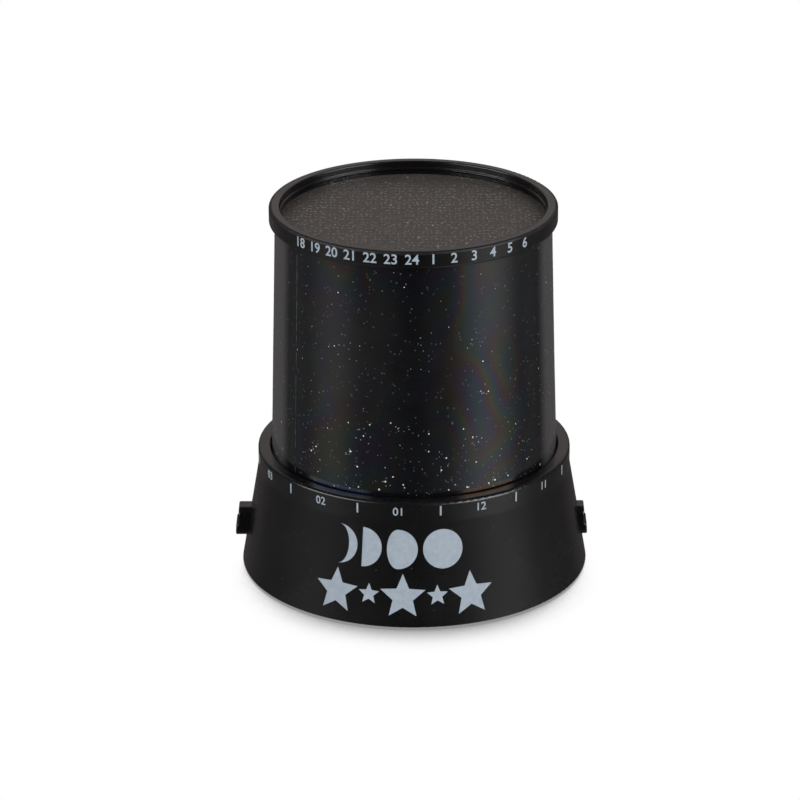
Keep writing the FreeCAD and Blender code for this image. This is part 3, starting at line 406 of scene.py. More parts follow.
# ---- Light deck and its LEDs ---------------------------------------------------------------------
# The inner top of the base: a black ABS deck with a tower for four LEDs, held by three screws.
# The LEDs are cast clear epoxy, each over a lead frame with a bright cup that holds its chip.
zinc = plated("zinc_plated_steel", "#BFC2C4", "#9A9C9A", roughness=0.3, grain=0.25 * MM)
finish(satin_abs, "light_deck")
finish(zinc, "light_deck_screws", "led_board_screws")
finish(green_board, "led_board")
finish(nickel, "led_pins")
finish(grey_pvc, "led_harness")


def cast_epoxy(name, tint):
    """Clear cast epoxy, faintly tinted, with a trace of haze."""
    made, tree, shader, place = new_material(name, {"IOR": 1.54, "Transmission Weight": 0.92})
    haze = add(tree, "TexNoise", {"Vector": place, "Scale": 1 / (1.5 * MM), "Detail": 3})
    milky = add(tree, "MapRange", {
        "Value": haze, "From Min": 0.3, "From Max": 0.8, "To Max": 0.3,
    })
    shade = add(tree, "Mix", {"Factor": milky, "A": tint, "B": "#E6E6E2"}, data_type="RGBA")
    gloss = add(tree, "MapRange", {
        "Value": haze, "From Min": 0.3, "From Max": 0.8, "To Min": 0.05, "To Max": 0.14,
    })
    plug(shader, {"Base Color": shade, "Roughness": gloss})
    return made


def lathed(made, profile, centre, steps):
    """Turns a closed profile of (radius, height) in mm round a vertical axis into a bmesh."""
    rings = []
    for i in range(steps):
        turn = 2 * math.pi * i / steps
        rings.append([
            made.verts.new(
                Vector((centre[0] + r * math.cos(turn), centre[1] + r * math.sin(turn), z)) * MM
            )
            for r, z in profile
        ])
    for i in range(steps):
        here, there = rings[i], rings[(i + 1) % steps]
        for k in range(len(profile)):
            n = (k + 1) % len(profile)
            made.faces.new((here[k], there[k], there[n], here[n]))


def add_piece(name, made, body, *materials):
    """Turns a bmesh into a smooth piece that rides on a body."""
    mesh = bpy.data.meshes.new(name)
    bmesh.ops.recalc_face_normals(made, faces=made.faces)
    made.to_mesh(mesh)
    made.free()
    for material in materials:
        mesh.materials.append(material)
    mesh.shade_smooth()
    mesh.set_sharp_from_angle(angle=math.radians(35))
    piece = bpy.data.objects.new(name, mesh)
    bpy.context.scene.collection.objects.link(piece)
    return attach(piece, body)


led_foot = 50.5                # underside of an LED's flange above the table
led_tints = {
    "led_warm": "#FFF3D2", "led_red": "#FF8A7C", "led_green": "#9BF5A4", "led_blue": "#8FB4FF",
}
cup = [(0.35, 1.2), (0.55, 1.2), (0.55, 2.4), (1.05, 3.4), (0.95, 3.4), (0.5, 2.9), (0.35, 2.9)]
cup_aside = -0.6               # the cup's axis from the LED's, along X
post = [(0.12, 1.2), (0.3, 1.2), (0.3, 3.9), (0.12, 3.9)]
post_aside = 1.27
frames = bmesh.new()
for name, tint in led_tints.items():
    finish(cast_epoxy(name + "_epoxy", tint), name)
    low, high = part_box(name)
    x, y = (low.x + high.x) / 2 / MM, (low.y + high.y) / 2 / MM
    lathed(frames, [(r, led_foot + z) for r, z in cup], (x + cup_aside, y), steps=20)
    lathed(frames, [(r, led_foot + z) for r, z in post], (x + post_aside, y), steps=12)
add_piece("led_lead_frames", frames, "base", nickel)


# ---- Control board -------------------------------------------------------------------------------
# Glass-epoxy board on four posts of the bottom cover: a blob of black epoxy over the chip, an
# electrolytic capacitor in a printed sleeve and four dipped resistors.
black_epoxy = moulded(
    "cast_black_epoxy", "#0B0B0C", "#171718",
    roughness=0.2, grain=1.0 * MM, relief=0.004 * MM, dust=0,
)
capacitor_sleeve = insulation("capacitor_sleeve", "#14203F", "#1F2E52")
resistor_enamel = insulation("dipped_enamel", "#B08C5C", "#BE9C6E")
finish(green_board, "control_board")
finish(zinc, "control_board_screws")
finish(black_epoxy, "controller_chip")
finish(capacitor_sleeve, "control_board_capacitor")
finish(resistor_enamel, "control_board_resistors")


# ---- Bottom cover, feet and case screws ----------------------------------------------------------
# The plate under the base, of the same satin ABS, with the battery bay in its middle. Four
# moulded rubber feet are pressed into it, and four zinc-plated screws hold it to the shell.
finish(satin_abs, "bottom_cover")
finish(zinc, "case_screws")
rubber = moulded(
    "moulded_rubber", "#151515", "#242423",
    roughness=0.72, grain=0.3 * MM, relief=0.02 * MM, dust=0.6,
)
finish(rubber, "rubber_feet")


# ---- Cells, contacts and battery leads -----------------------------------------------------------
# Three AA cells in a jacket of printed film over a steel can. Nickel-plated plates and conical
# springs join them in series, and two PVC leads run up to the control board.
black_pvc = insulation("black_pvc", "#0E0E0F", "#1B1B1C")
finish(nickel, "battery_contact_plates", "battery_contact_springs")
finish(black_pvc, "battery_lead_negative")
finish(red_pvc, "battery_lead_positive")
cell_reach = 50.5              # length of a cell over its cap
jacket_start = 0.045           # where the jacket starts, as a share of the cell from its cap
jacket_bands = (               # where each colour starts, as a share of the cell from its cap
    (0.075, "#2D6A72"), (0.24, "#D9DBDA"), (0.255, "#23282C"), (0.985, "#B9BBBC"),
)
for index, way in enumerate((1, -1, 1)):
    name = f"battery_cell_{index + 1}"
    low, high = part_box(name)
    made, tree, shader, place = new_material(name + "_jacket", {"Roughness": 0.3, "IOR": 1.5})
    tip = high.y if way > 0 else low.y
    along = add(tree, "SeparateXYZ", {"Vector": place}).outputs["Y"]
    back = add(tree, "MapRange", {
        "Value": along, "From Min": tip, "From Max": tip - way * cell_reach * MM,
    })
    bands = add(tree, "ValToRGB", {"Fac": back})
    ramp = bands.color_ramp
    ramp.interpolation = "CONSTANT"
    ramp.elements[0].color = linear("#C6C8CA")
    ramp.elements[1].position = jacket_start
    ramp.elements[1].color = linear("#D9DBDA")
    for position, colour in jacket_bands:
        ramp.elements.new(position).color = linear(colour)
    smear = add(tree, "TexNoise", {"Vector": place, "Scale": 1 / (6 * MM), "Detail": 3})
    dirt = add(tree, "MapRange", {
        "Value": smear, "From Min": 0.4, "From Max": 0.8, "To Max": 0.25,
    })
    shade = add(tree, "Mix", {"Factor": dirt, "A": bands, "B": "#4A4F52"}, data_type="RGBA")
    metal = add(tree, "MapRange", {
        "Value": back, "From Min": jacket_start, "From Max": jacket_start - 0.0001,
    })
    plug(shader, {"Base Color": shade, "Metallic": metal})
    finish(made, name)


# ---- Battery door --------------------------------------------------------------------------------
# A flat ABS door with two ribs that press on the cells; it swings on two moulded pins and snaps
# shut with a tongue at the back.
finish(satin_abs, "battery_door")


# ---- Turning ring --------------------------------------------------------------------------------
# Injection-moulded black nylon, because that slides well on ABS. The ring is snapped under the
# shelf of the base and glides on it. The drum stands on it, its three dowels in the ring's holes.
finish(black_nylon, "turning_ring")


# ---- Drum's foot ring and clamp ring -------------------------------------------------------------
# Two black ABS rings inside the drum: one stiffens the lower edge of the film sleeve, the other
# holds the film disc in the bezel.
finish(satin_abs, "drum_foot_ring", "disc_clamp_ring")


# ---- Star sleeve ---------------------------------------------------------------------------------
# Polyester film, printed glossy black but for its stars and rolled into a tapered sleeve. One end
# laps over the other at the left and shows its cut edge: pale bare polyester, with a painted
# highlight on top. The gloss has a faint oily play of colour, as stretched polyester has, and the
# film lies in very shallow waves.
film_foot, film_head = (47.1, 42.0), (44.9, 119.4)    # radius and height, in mm
film_bottom, film_top = 40.05, 120.3
film_thickness = 0.4
lap_angle = -55.0              # cut edge of the outer layer, in degrees from the front
lap_gap = 0.01                 # half of the slit at the cut edge, in degrees
lap_step = 0.16
lap_fade = 24.0                # degrees over which the step dies away
film_slack = 0.055             # how far the middle of the film lies inside the taper
film_rows = 24
film_columns = 240


def film_radius(height):
    """Radius of the sleeve's taper, in mm."""
    share = (height - film_foot[1]) / (film_head[1] - film_foot[1])
    return film_foot[0] + (film_head[0] - film_foot[0]) * share


def film_surface(height, angle):
    """Radius of the film's outside with its lap and its shallow waves, in mm."""
    behind = (lap_angle - angle) % 360
    lap = lap_step * math.cos(min(behind / lap_fade, 1) * math.pi / 2) ** 2
    turn = math.radians(angle)
    share = (height - film_bottom) / (film_top - film_bottom)
    loose = math.sin(math.pi * min(max(share, 0), 1))
    wave = (
        0.035 * math.sin(3 * turn + 0.07 * height)
        + 0.02 * math.sin(7 * turn - 0.11 * height + 1)
    )
    return film_radius(height) + lap + wave * loose - film_slack * loose


film_turn = 360 - 2 * lap_gap
heights = [film_bottom + (film_top - film_bottom) * k / film_rows for k in range(film_rows + 1)]
sleeve = bmesh.new()
grid = []
for i in range(film_columns + 1):
    angle = lap_angle + lap_gap + film_turn * i / film_columns
    outside, inside = (
        [sleeve.verts.new(on_round(radius, h, angle, lift)) for h in heights]
        for radius, lift in ((lambda h: film_surface(h, angle), 0), (film_radius, -film_thickness))
    )
    grid.append(outside + inside[::-1])
for i, column in enumerate(grid):
    following = grid[(i + 1) % len(grid)]
    for k in range(len(column)):
        n = (k + 1) % len(column)
        face = sleeve.faces.new((column[k], following[k], following[n], column[n]))
        face.material_index = 1 if i == len(grid) - 1 and n <= film_rows else 0

film_black, tree, shader, place = new_material(
    "black_printed_film", {"Roughness": 0.14, "IOR": 1.64}
)
axes = add(tree, "SeparateXYZ", {"Vector": place})
minus_y = add(tree, "Math", {0: axes.outputs["Y"], 1: -1}, operation="MULTIPLY")
around = add(tree, "Math", {0: axes.outputs["X"], 1: minus_y}, operation="ARCTAN2")

# The play of colour: oily bands that follow the turn of the film, plain in some patches. At the
# film's foot the gloss is tinted blue at the left and orange at the right: painted reflection
# colours
drawn = add(tree, "Mapping", {"Vector": place, "Scale": (1, 1, 0.7)})
cloud = add(tree, "TexNoise", {"Vector": drawn, "Scale": 1 / (26 * MM), "Detail": 1})
turns = add(tree, "Math", {0: around, 1: 1.6}, operation="MULTIPLY")
swirl = add(tree, "Math", {0: cloud, 1: 6, 2: turns}, operation="MULTIPLY_ADD")
hue = add(tree, "Math", {0: swirl}, operation="FRACT")
oil = add(tree, "ValToRGB", {"Fac": hue})
for element in oil.color_ramp.elements:
    element.color = linear("#FFCFC6")
for position, colour in ((0.2, "#FFEFC4"), (0.4, "#CDF6D2"), (0.6, "#C4E4FF"), (0.8, "#E2CCFF")):
    oil.color_ramp.elements.new(position).color = linear(colour)
patches = add(tree, "TexNoise", {"Vector": place, "Scale": 1 / (45 * MM), "Detail": 1})
plain = add(tree, "MapRange", {
    "Value": patches, "From Min": 0.42, "From Max": 0.58, "To Min": 0.15, "To Max": 0.75,
})
play = add(tree, "Mix", {"Factor": plain, "A": oil, "B": "#FFFFFF"}, data_type="RGBA")
# Painted reflection: a blue tint at the left and an orange tint at the right, low on the film's
# foot
side = add(tree, "MapRange", {"Value": around, "From Min": -0.1, "From Max": 0.1})
painted_reflection_tint = add(tree, "Mix", {"Factor": side, "A": "#8FB2FF", "B": "#FFB36B"}, data_type="RGBA")
painted_reflection_at_foot = add(tree, "MapRange", {
    "Value": axes.outputs["Z"], "From Min": 43.6 * MM, "From Max": 42.6 * MM, "To Max": 0.9,
})
play = add(tree, "Mix", {"Factor": painted_reflection_at_foot, "A": play, "B": painted_reflection_tint}, data_type="RGBA")

# The print: near-black with matt clouds and faint stars, painted paler at a slant as a painted
# sheen
fine = add(tree, "TexNoise", {"Vector": place, "Scale": 1 / (7 * MM), "Detail": 3})
matt = add(tree, "MapRange", {"Value": fine, "From Min": 0.42, "From Max": 0.66, "To Max": 0.5})
shade = add(tree, "Mix", {"Factor": matt, "A": "#0C0D10", "B": "#131417"}, data_type="RGBA")
faint = add(tree, "TexVoronoi", {"Vector": place, "Scale": 1 / (2.1 * MM), "Randomness": 0.8})
dot = add(tree, "MapRange", {"Value": faint, "From Min": 0.17, "From Max": 0.1})
thick = add(tree, "MapRange", {"Value": fine, "From Min": 0.4, "From Max": 0.7, "To Max": 0.6})
dot = add(tree, "Math", {0: dot, 1: thick}, operation="MULTIPLY")
shade = add(tree, "Mix", {"Factor": dot, "A": shade, "B": "#2E2F33"}, data_type="RGBA")
# Painted sheen: the colour turns paler where the film is seen at a slant, in place of the
# backdrop's reflection
painted_sheen_facing = add(tree, "LayerWeight").outputs["Facing"]
haze = add(tree, "MapRange", {"Value": painted_sheen_facing, "From Min": 0.57, "From Max": 0.67})
shade = add(tree, "Mix", {"Factor": haze, "A": shade, "B": "#3F3F41"}, data_type="RGBA")
plug(shader, {"Base Color": shade, "Specular Tint": play})

# The cut edge: bare polyester, paler and rougher than the print, with small burrs, and painted
# paler still as the highlight along the step of the lap
cut_edge_with_painted_highlight, tree, shader, place = new_material("cut_film_edge", {"Roughness": 0.3, "IOR": 1.5})
burr = add(tree, "TexNoise", {"Vector": place, "Scale": 1 / (2 * MM), "Detail": 4})
raised = add(tree, "MapRange", {"Value": burr, "From Min": 0.35, "From Max": 0.7})
# Partly painted highlight: the pale grey gives the bright line along the lap's step
shade = add(tree, "Mix", {"Factor": raised, "A": "#3A3B3E", "B": "#8C8E92"}, data_type="RGBA")
plug(shader, {"Base Color": shade})
piece = add_piece("film_sleeve", sleeve, "star_drum", film_black, cut_edge_with_painted_highlight)
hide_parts("star_sleeve")


# ---- Stars of the sleeve -------------------------------------------------------------------------
# The unprinted dots of the film, where its clear polyester shows pale: many small stars, more of
# them towards the foot, a few bright ones, and tight groups.
dot_depth, dot_lift = -0.08, 0.02     # a dot's faces under and over the film's surface


def add_dot(made, centre, normal, size, material_index, sides=7):
    """A star as a flat closed disc let into the film; size is its radius in mm."""
    across = normal.orthogonal().normalized()
    upward = normal.cross(across)
    turns = [2 * math.pi * i / sides for i in range(sides)]
    low, high = ([
        made.verts.new(
            centre + normal * (lift * MM)
            + (across * math.cos(a) + upward * math.sin(a)) * size * MM
        )
        for a in turns
    ] for lift in (dot_depth, dot_lift))
    made.faces.new(high).material_index = material_index
    made.faces.new(low[::-1]).material_index = material_index
    for i in range(sides):
        n = (i + 1) % sides
        made.faces.new((low[i], low[n], high[n], high[i])).material_index = material_index


def clear_dot(name, colour, dull):
    """Clear polyester over a pale lining, glossy and a little cloudy."""
    made, tree, shader, place = new_material(name, {"Roughness": 0.2, "IOR": 1.57})
    haze = add(tree, "TexNoise", {"Vector": place, "Scale": 1 / (4 * MM), "Detail": 2})
    clear = add(tree, "MapRange", {"Value": haze, "From Min": 0.35, "From Max": 0.65})
    shade = add(tree, "Mix", {"Factor": clear, "A": dull, "B": colour}, data_type="RGBA")
    plug(shader, {"Base Color": shade})
    return made


star_tones = [
    clear_dot("star_faint", "#3E4045", "#303236"),
    clear_dot("star_middle", "#A3A7AE", "#7C8087"),
    clear_dot("star_bright", "#F2F4F6", "#D5D9DE"),
]
film_lean = 0.023              # rise of the film's normal, from the sleeve's taper
star_floor, star_reach = 42.8, 75.5   # lowest star above the table, and the height they fill
group_floor = 42.7                    # the same for a star of a group
chance = random.Random(12)
stars = bmesh.new()


def add_star(angle, height, size, tone):
    """A star of the sleeve at an angle in degrees and a height in mm."""
    turn = math.radians(angle)
    normal = Vector((math.sin(turn), -math.cos(turn), film_lean)).normalized()
    surface = on_round(lambda h: film_surface(h, angle), height, angle)
    add_dot(stars, surface, normal, size, tone)


for count, crowding, small, large, tone in (
    (1500, 1.35, 0.18, 0.34, 0), (360, 1.7, 0.1, 0.17, 1), (70, 2.4, 0.12, 0.2, 2)
):
    for _ in range(count):
        height = star_floor + star_reach * chance.random() ** crowding
        add_star(chance.uniform(-180, 180), height, chance.uniform(small, large), tone)
bright_stars = (               # angle, height and size of the stars that stand out
    (-13.8, 44.2, 0.32), (-25.8, 55.9, 0.31), (-11.3, 47.1, 0.28), (21.1, 44.2, 0.3),
    (33.5, 44.7, 0.3), (-22.3, 44.2, 0.28), (-44.9, 52.5, 0.28), (-42.4, 54.5, 0.26),
    (30.6, 44.1, 0.28), (40.0, 44.8, 0.26), (13.6, 44.0, 0.26), (12.7, 55.0, 0.26),
    (10.7, 51.0, 0.26), (-22.8, 51.1, 0.25), (25.1, 52.2, 0.25), (-17.7, 66.0, 0.25),
    (-4.3, 46.3, 0.24), (-20.3, 61.9, 0.24), (-8.3, 48.9, 0.24), (30.9, 75.5, 0.24),
    (19.8, 64.2, 0.22), (-26.8, 65.6, 0.22), (51.0, 47.9, 0.22), (23.7, 61.0, 0.22),
    (5.8, 63.6, 0.22), (-9.2, 67.2, 0.22), (5.7, 57.6, 0.22), (28.5, 86.0, 0.22),
    (98.0, 46.0, 0.34), (112.0, 58.0, 0.28), (126.0, 49.5, 0.26), (141.0, 66.0, 0.3),
    (150.0, 45.5, 0.32), (163.0, 54.0, 0.24), (172.0, 72.0, 0.26), (-172.0, 48.0, 0.3),
    (-160.0, 60.0, 0.26), (-149.0, 45.0, 0.34), (-137.0, 52.0, 0.24), (-124.0, 70.0, 0.28),
    (-112.0, 47.0, 0.3), (-98.0, 57.0, 0.26), (-86.0, 45.0, 0.28), (83.0, 53.0, 0.24),
)
for angle, height, size in bright_stars:
    add_star(angle, height, size, 2)
star_groups = (                # each group's angle and height, its stars and its spread in mm
    (-25.8, 55.8, 6, 1.6), (-11.3, 47.1, 5, 1.3), (-43.4, 53.2, 7, 2.6), (-21.0, 62.5, 8, 4.2),
    (21.5, 44.6, 4, 1.2), (33.0, 45.2, 5, 1.8), (12.0, 52.5, 6, 3.6), (25.0, 59.0, 7, 3.4),
    (30.0, 76.0, 5, 2.8), (-6.5, 65.0, 6, 3.0), (-27.0, 90.0, 9, 5.0), (28.0, 93.0, 7, 4.5),
    (96.0, 59.0, 9, 4.0), (131.0, 75.0, 10, 5.0), (158.0, 51.0, 8, 3.0), (-150.0, 63.0, 11, 4.5),
    (-104.0, 50.0, 8, 3.0),
)
for angle, height, count, spread in star_groups:
    for _ in range(count):
        turn = angle + math.degrees(chance.gauss(0, spread / 2) / film_radius(height))
        level = max(height + chance.gauss(0, spread / 2), group_floor)
        add_star(turn, level, chance.uniform(0.11, 0.19), 1)
add_piece("sleeve_stars", stars, "star_drum", *star_tones)


# ---- Seam strip ----------------------------------------------------------------------------------
# Clear adhesive tape, cut a little shorter than the sleeve is high. It is stuck over the overlap
# from inside, and holds it.
clear_tape = insulation("clear_tape", "#8E8E88", "#A4A49C")
finish(clear_tape, "sleeve_seam_strip")


# ---- Star disc -----------------------------------------------------------------------------------
# A round piece of the same film in the drum's top, a little matter than the sleeve, with closely
# set small stars in rows that are a little uneven. Its brownish grey is painted reflection: it
# stands in for the pale backdrop that the upward-facing film mirrors.
disc_film_painted_reflection, tree, shader, place = new_material("satin_film_painted_reflection", {"Specular IOR Level": 0.25})
cloud = add(tree, "TexNoise", {"Vector": place, "Scale": 1 / (22 * MM), "Detail": 3})
grain = add(tree, "TexNoise", {"Vector": place, "Scale": 1 / (0.6 * MM), "Detail": 2})
cloudy = add(tree, "MapRange", {"Value": cloud, "From Min": 0.35, "From Max": 0.65})
worn = add(tree, "MapRange", {"Value": grain, "From Min": 0.45, "From Max": 0.75, "To Max": 0.35})
gloss = add(tree, "MapRange", {
    "Value": cloud, "From Min": 0.3, "From Max": 0.7, "To Min": 0.42, "To Max": 0.5,
})
# Painted reflection: the brownish grey colour stands in for the backdrop mirrored by the disc's
# upward face
shade = add(tree, "Mix", {"Factor": cloudy, "A": "#373331", "B": "#3D3937"}, data_type="RGBA")
shade = add(tree, "Mix", {"Factor": worn, "A": shade, "B": "#4A4643"}, data_type="RGBA")
bump = add(tree, "Bump", {"Strength": 0.6, "Distance": 0.01 * MM, "Height": grain})
plug(shader, {"Base Color": shade, "Roughness": gloss, "Normal": bump})
finish(disc_film_painted_reflection, "star_disc")

disc_face = 120.5
disc_reach, disc_margin = 43.3, 0.5   # radius that shows inside the bezel, and its bare rim
disc_pitch, disc_row = 1.5, 2.8       # from star to star along X and Y
disc_stray = 0.3                      # how far a star leaves its place, as a share of the pitch
bare_share = 0.1                      # share of the places left without a star
middle_share, bright_share = 0.72, 0.975    # from where on a star is of the brighter tones
disc_tones = [
    clear_dot("disc_star_faint", "#534F4C", "#45413F"),
    clear_dot("disc_star_middle", "#6E6966", "#5B5653"),
    clear_dot("disc_star_bright", "#8F8A85", "#79746F"),
]
disc_stars = bmesh.new()
steps, rows = int(disc_reach / disc_pitch) + 1, int(disc_reach / disc_row) + 1
for i in range(-steps, steps + 1):
    for k in range(-rows, rows + 1):
        x = (i + chance.uniform(-disc_stray, disc_stray)) * disc_pitch
        y = (k + chance.uniform(-disc_stray, disc_stray)) * disc_row
        draw = chance.random()
        size = chance.uniform(0.32, 0.5)
        if math.hypot(x, y) > disc_reach - disc_margin or draw < bare_share:
            continue
        tone = 2 if draw > bright_share else 1 if draw > middle_share else 0
        place = Vector((x, y, disc_face)) * MM
        add_dot(disc_stars, place, Vector((0, 0, 1)), size, tone, sides=6)
add_piece("disc_stars", disc_stars, "star_drum", *disc_tones)


# ---- Bezel ---------------------------------------------------------------------------------------
# Polished black ABS ring over the top of the drum, with a flat crown and a snap bead inside.
# Handling has rubbed its upper outer edge matt. Its side carries the hours of the night, printed
# in the same pale ink.
bezel_outside, bezel_top, bezel_rounding = 46.75, 125.0, 0.8
rub_width = 1.1
bezel_abs = moulded(
    "rubbed_black_abs", "#0A0A0B", "#141415",
    roughness=0.22, grain=0.5 * MM, relief=0.001 * MM, dust=0.2,
)
tree = bezel_abs.node_tree
place = add(tree, "TexCoord").outputs["Object"]
height = add(tree, "SeparateXYZ", {"Vector": place}).outputs["Z"]
level = add(tree, "VectorMath", {0: place, 1: (1, 1, 0)}, operation="MULTIPLY")
out = add(tree, "VectorMath", {0: level}, operation="LENGTH")
high, wide = (
    add(tree, "MapRange", {
        "Value": source,
        "From Min": (limit - rub_width) * MM, "From Max": (limit - bezel_rounding) * MM,
    })
    for source, limit in ((height, bezel_top), (out, bezel_outside))
)
brink = add(tree, "Math", {0: high, 1: wide}, operation="MULTIPLY")
shader = next(n for n in tree.nodes if n.type == "BSDF_PRINCIPLED")
gloss = shader.inputs["Roughness"].links[0].from_socket
rubbed = add(tree, "Math", {0: brink, 1: 0.3, 2: gloss}, operation="MULTIPLY_ADD")
plug(shader, {"Roughness": rubbed})
finish(bezel_abs, "bezel")


def bezel_side(height):
    """Radius of the bezel's outside, in mm, with the rounding of its upper edge."""
    past = max(height - (bezel_top - bezel_rounding), 0)
    return bezel_outside - bezel_rounding + math.sqrt(bezel_rounding ** 2 - past ** 2)


hours = (18, 19, 20, 21, 22, 23, 24, 1, 2, 3, 4, 5, 6)
hour_pitch, hour_middle = 8.2, -0.6   # degrees from hour to hour, and the middle one's place
hour_height, hour_weight, hour_foot = 3.35, 0.06, 121.0
hour_scale = []
for i, hour in enumerate(hours):
    angle = hour_middle + (i - (len(hours) - 1) / 2) * hour_pitch
    hour_scale.append((flat_number(str(hour), hour_height, hour_weight), angle, hour_foot))
print_round("hour_scale", hour_scale, bezel_side, pale_ink, "star_drum")


# ---- Studio --------------------------------------------------------------------------------------
# Camera, a plain white table and soft light. The table and the far background show white to the
# camera, and the table keeps the soft shadow of the base. What shines in the gloss is a pale
# backdrop behind, two soft boxes at the sides and a dim room in front.
frame_side, sensor = 800, 36.0        # width of the render in pixels, and of the sensor in mm
focal_length, shift = 3576.9, -13.95  # in pixels
camera_place = (0, -1.09356, 0.50125)
tilt, roll = 0.3863, math.radians(-0.17)              # tilt is down from the level, in radians
camera = bpy.data.objects.new("camera", bpy.data.cameras.new("camera"))
bpy.context.scene.collection.objects.link(camera)
camera.data.sensor_width = sensor
camera.data.lens = focal_length / frame_side * sensor
camera.data.shift_x = shift / frame_side
camera.data.clip_start = 0.05
camera.matrix_world = (
    Matrix.Translation(camera_place)
    @ Matrix.Rotation(math.pi / 2 - tilt, 4, "X")
    @ Matrix.Rotation(roll, 4, "Z")
)
bpy.context.scene.camera = camera

# The table is white to the camera, less the shadow: dark close to the object and fading outwards,
# only where the object stands behind the spot. All other rays see a plain diffuse table.
table = bmesh.new()
bmesh.ops.create_circle(table, cap_ends=True, radius=6.0, segments=96)
table_mesh = bpy.data.meshes.new("table")
table.to_mesh(table_mesh)
table.free()
floor = bpy.data.objects.new("table", table_mesh)
bpy.context.scene.collection.objects.link(floor)
floor.visible_glossy = False
white_table = bpy.data.materials.new("white_table")
white_table.use_nodes = True
tree = white_table.node_tree
tree.nodes.clear()
near = add(tree, "AmbientOcclusion", {"Distance": 0.02}, samples=16).outputs["AO"]
near = add(tree, "MapRange", {
    "Value": near, "From Min": 0.5, "From Max": 1, "To Min": 0.72, "To Max": 0,
}, interpolation_type="SMOOTHSTEP")
backwards = add(tree, "CombineXYZ", {"Y": 1})
behind = add(
    tree, "AmbientOcclusion", {"Distance": 0.036, "Normal": backwards}, samples=16
).outputs["AO"]
behind = add(tree, "MapRange", {"Value": behind, "From Min": 0.76, "From Max": 0.63})
dark = add(tree, "Math", {0: near, 1: behind}, operation="MULTIPLY")
shadow = add(tree, "Math", {0: 1, 1: dark}, operation="SUBTRACT")
seen = add(tree, "Emission", {"Color": shadow})
plain = add(tree, "BsdfDiffuse", {"Color": "#EDEDEB"})
to_camera = add(tree, "LightPath").outputs["Is Camera Ray"]
top = add(tree, "MixShader", {"Fac": to_camera, 1: plain, 2: seen})
under = add(tree, "NewGeometry").outputs["Backfacing"]
clear = add(tree, "BsdfTransparent")
both = add(tree, "MixShader", {"Fac": under, 1: top, 2: clear})
add(tree, "OutputMaterial", {"Surface": both})
table_mesh.materials.append(white_table)

bpy.context.scene.view_settings.view_transform = "Standard"
world = bpy.data.worlds.new("studio")
bpy.context.scene.world = world
world.use_nodes = True
world.cycles.sampling_method = "NONE"
tree = world.node_tree
tree.nodes.clear()
axes = add(tree, "SeparateXYZ", {"Vector": add(tree, "TexCoord").outputs["Generated"]})
height = axes.outputs["Z"]
minus_y = add(tree, "Math", {0: axes.outputs["Y"], 1: -1}, operation="MULTIPLY")
around = add(tree, "Math", {0: axes.outputs["X"], 1: minus_y}, operation="ARCTAN2")


def lit_within(source, low, high, soft):
    """1 between two limits, falling softly to 0 outside them."""
    rising = add(tree, "MapRange", {"Value": source, "From Min": low - soft, "From Max": low})
    falling = add(tree, "MapRange", {"Value": source, "From Min": high + soft, "From Max": high})
    return add(tree, "Math", {0: rising, 1: falling}, operation="MULTIPLY")


# The walls of the room, by azimuth from the front in degrees, with their brightness
walls = (
    (-180, 0.08), (-138, 0.12), (-128, 0.11), (-100, 0.15), (-68, 0.44), (-38, 0.15), (0, 0.03),
    (22, 0.13), (61, 0.86), (100, 0.16), (127, 0.09), (140, 0.10), (180, 0.08),
)
circle = add(tree, "MapRange", {"Value": around, "From Min": -math.pi, "From Max": math.pi})
room = add(tree, "ValToRGB", {"Fac": circle})
ramp = room.color_ramp
ramp.interpolation = "EASE"
for element, (azimuth, grey) in zip(ramp.elements, (walls[0], walls[-1])):
    element.position = azimuth / 360 + 0.5
    element.color = (grey, grey, grey, 1)
for azimuth, grey in walls[1:-1]:
    ramp.elements.new(azimuth / 360 + 0.5).color = (grey, grey, grey, 1)

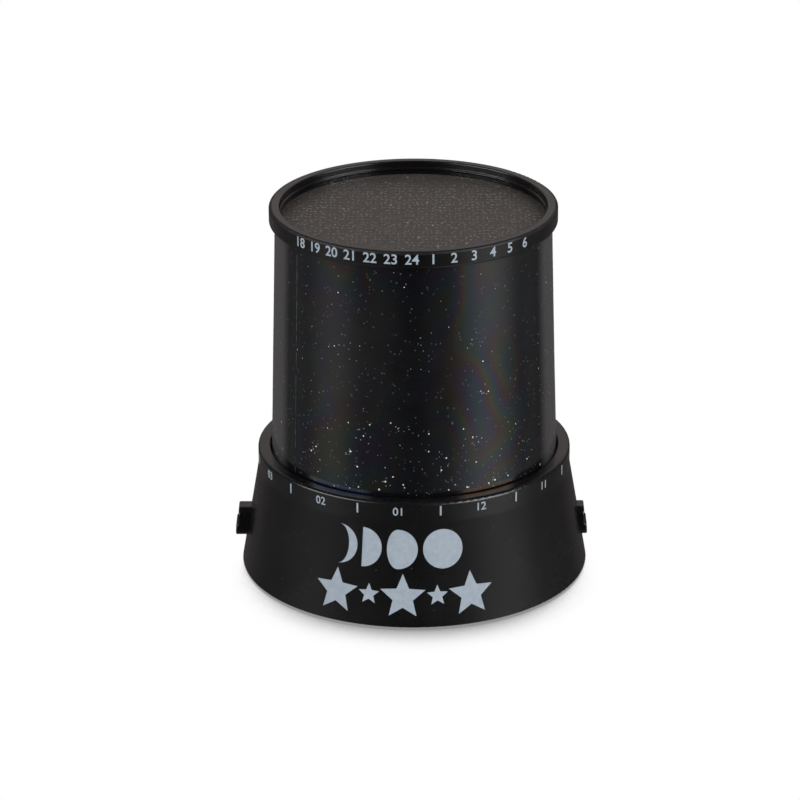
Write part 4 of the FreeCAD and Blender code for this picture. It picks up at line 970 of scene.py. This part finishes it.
# Over the walls: dimmer from a little below the horizon up, the pale backdrop, and the ceiling
upper = add(tree, "MapRange", {
    "Value": height, "From Min": -0.3, "From Max": -0.1, "To Max": 0.5,
})
far = add(tree, "MapRange", {"Value": axes.outputs["Y"], "From Min": 0.45, "From Max": 0.75})
backdrop = add(tree, "Math", {0: lit_within(height, 0.2, 0.6, 0.12), 1: far}, operation="MULTIPLY")
ceiling = add(tree, "MapRange", {"Value": height, "From Min": 0.6, "From Max": 0.7})
for share, grey in ((upper, "#000000"), (backdrop, "#B2B2B2"), (ceiling, "#464646")):
    room = add(tree, "Mix", {"Factor": share, "A": room, "B": grey}, data_type="RGBA")
level = add(tree, "RGBToBW", {"Color": room})

# The two soft boxes: azimuths of their sides in degrees, and brightness
for left, right, brightness in ((-90, -38, 6), (40, 84, 8)):
    across = lit_within(around, math.radians(left), math.radians(right), 0.04)
    upright = lit_within(height, 0.25, 0.55, 0.03)
    box = add(tree, "Math", {0: across, 1: upright}, operation="MULTIPLY")
    level = add(tree, "Math", {0: box, 1: brightness, 2: level}, operation="MULTIPLY_ADD")

# Gloss sees the room, matt surfaces get even light, and the camera and glass see white
warm = add(tree, "MapRange", {"Value": axes.outputs["Y"], "From Min": 0.3, "From Max": 0.6})
tone = add(tree, "Mix", {"Factor": warm, "A": "#FFFFFF", "B": "#FFF4F1"}, data_type="RGBA")
shining = add(tree, "Background", {"Color": tone, "Strength": level})
filling = add(tree, "Background", {"Color": "#FFFFFF", "Strength": 0.5})
white = add(tree, "Background", {"Color": "#FFFFFF", "Strength": 1})
rays = add(tree, "LightPath").outputs
light = add(tree, "MixShader", {"Fac": rays["Is Glossy Ray"], 1: filling, 2: shining})
through = add(
    tree, "Math", {0: rays["Is Camera Ray"], 1: rays["Is Transmission Ray"]}, operation="MAXIMUM"
)
whole = add(tree, "MixShader", {"Fac": through, 1: light, 2: white})
add(tree, "OutputWorld", {"Surface": whole})

lamp_distance, lamp_size, lamp_rise, lamp_target = 1.2, 0.6, 0.85, 0.06
for name, azimuth, power in (("soft_box_left", -62, 5), ("soft_box_right", 58, 7)):
    lamp = bpy.data.lights.new(name, "AREA")
    lamp.shape = "SQUARE"
    lamp.size = lamp_size
    lamp.energy = power
    box = bpy.data.objects.new(name, lamp)
    bpy.context.scene.collection.objects.link(box)
    turn = math.radians(azimuth)
    away = Vector((math.sin(turn), -math.cos(turn), lamp_rise)).normalized()
    box.location = Vector((0, 0, lamp_target)) + away * lamp_distance
    box.rotation_mode = "QUATERNION"
    box.rotation_quaternion = away.to_track_quat("Z", "Y")
    box.visible_glossy = False
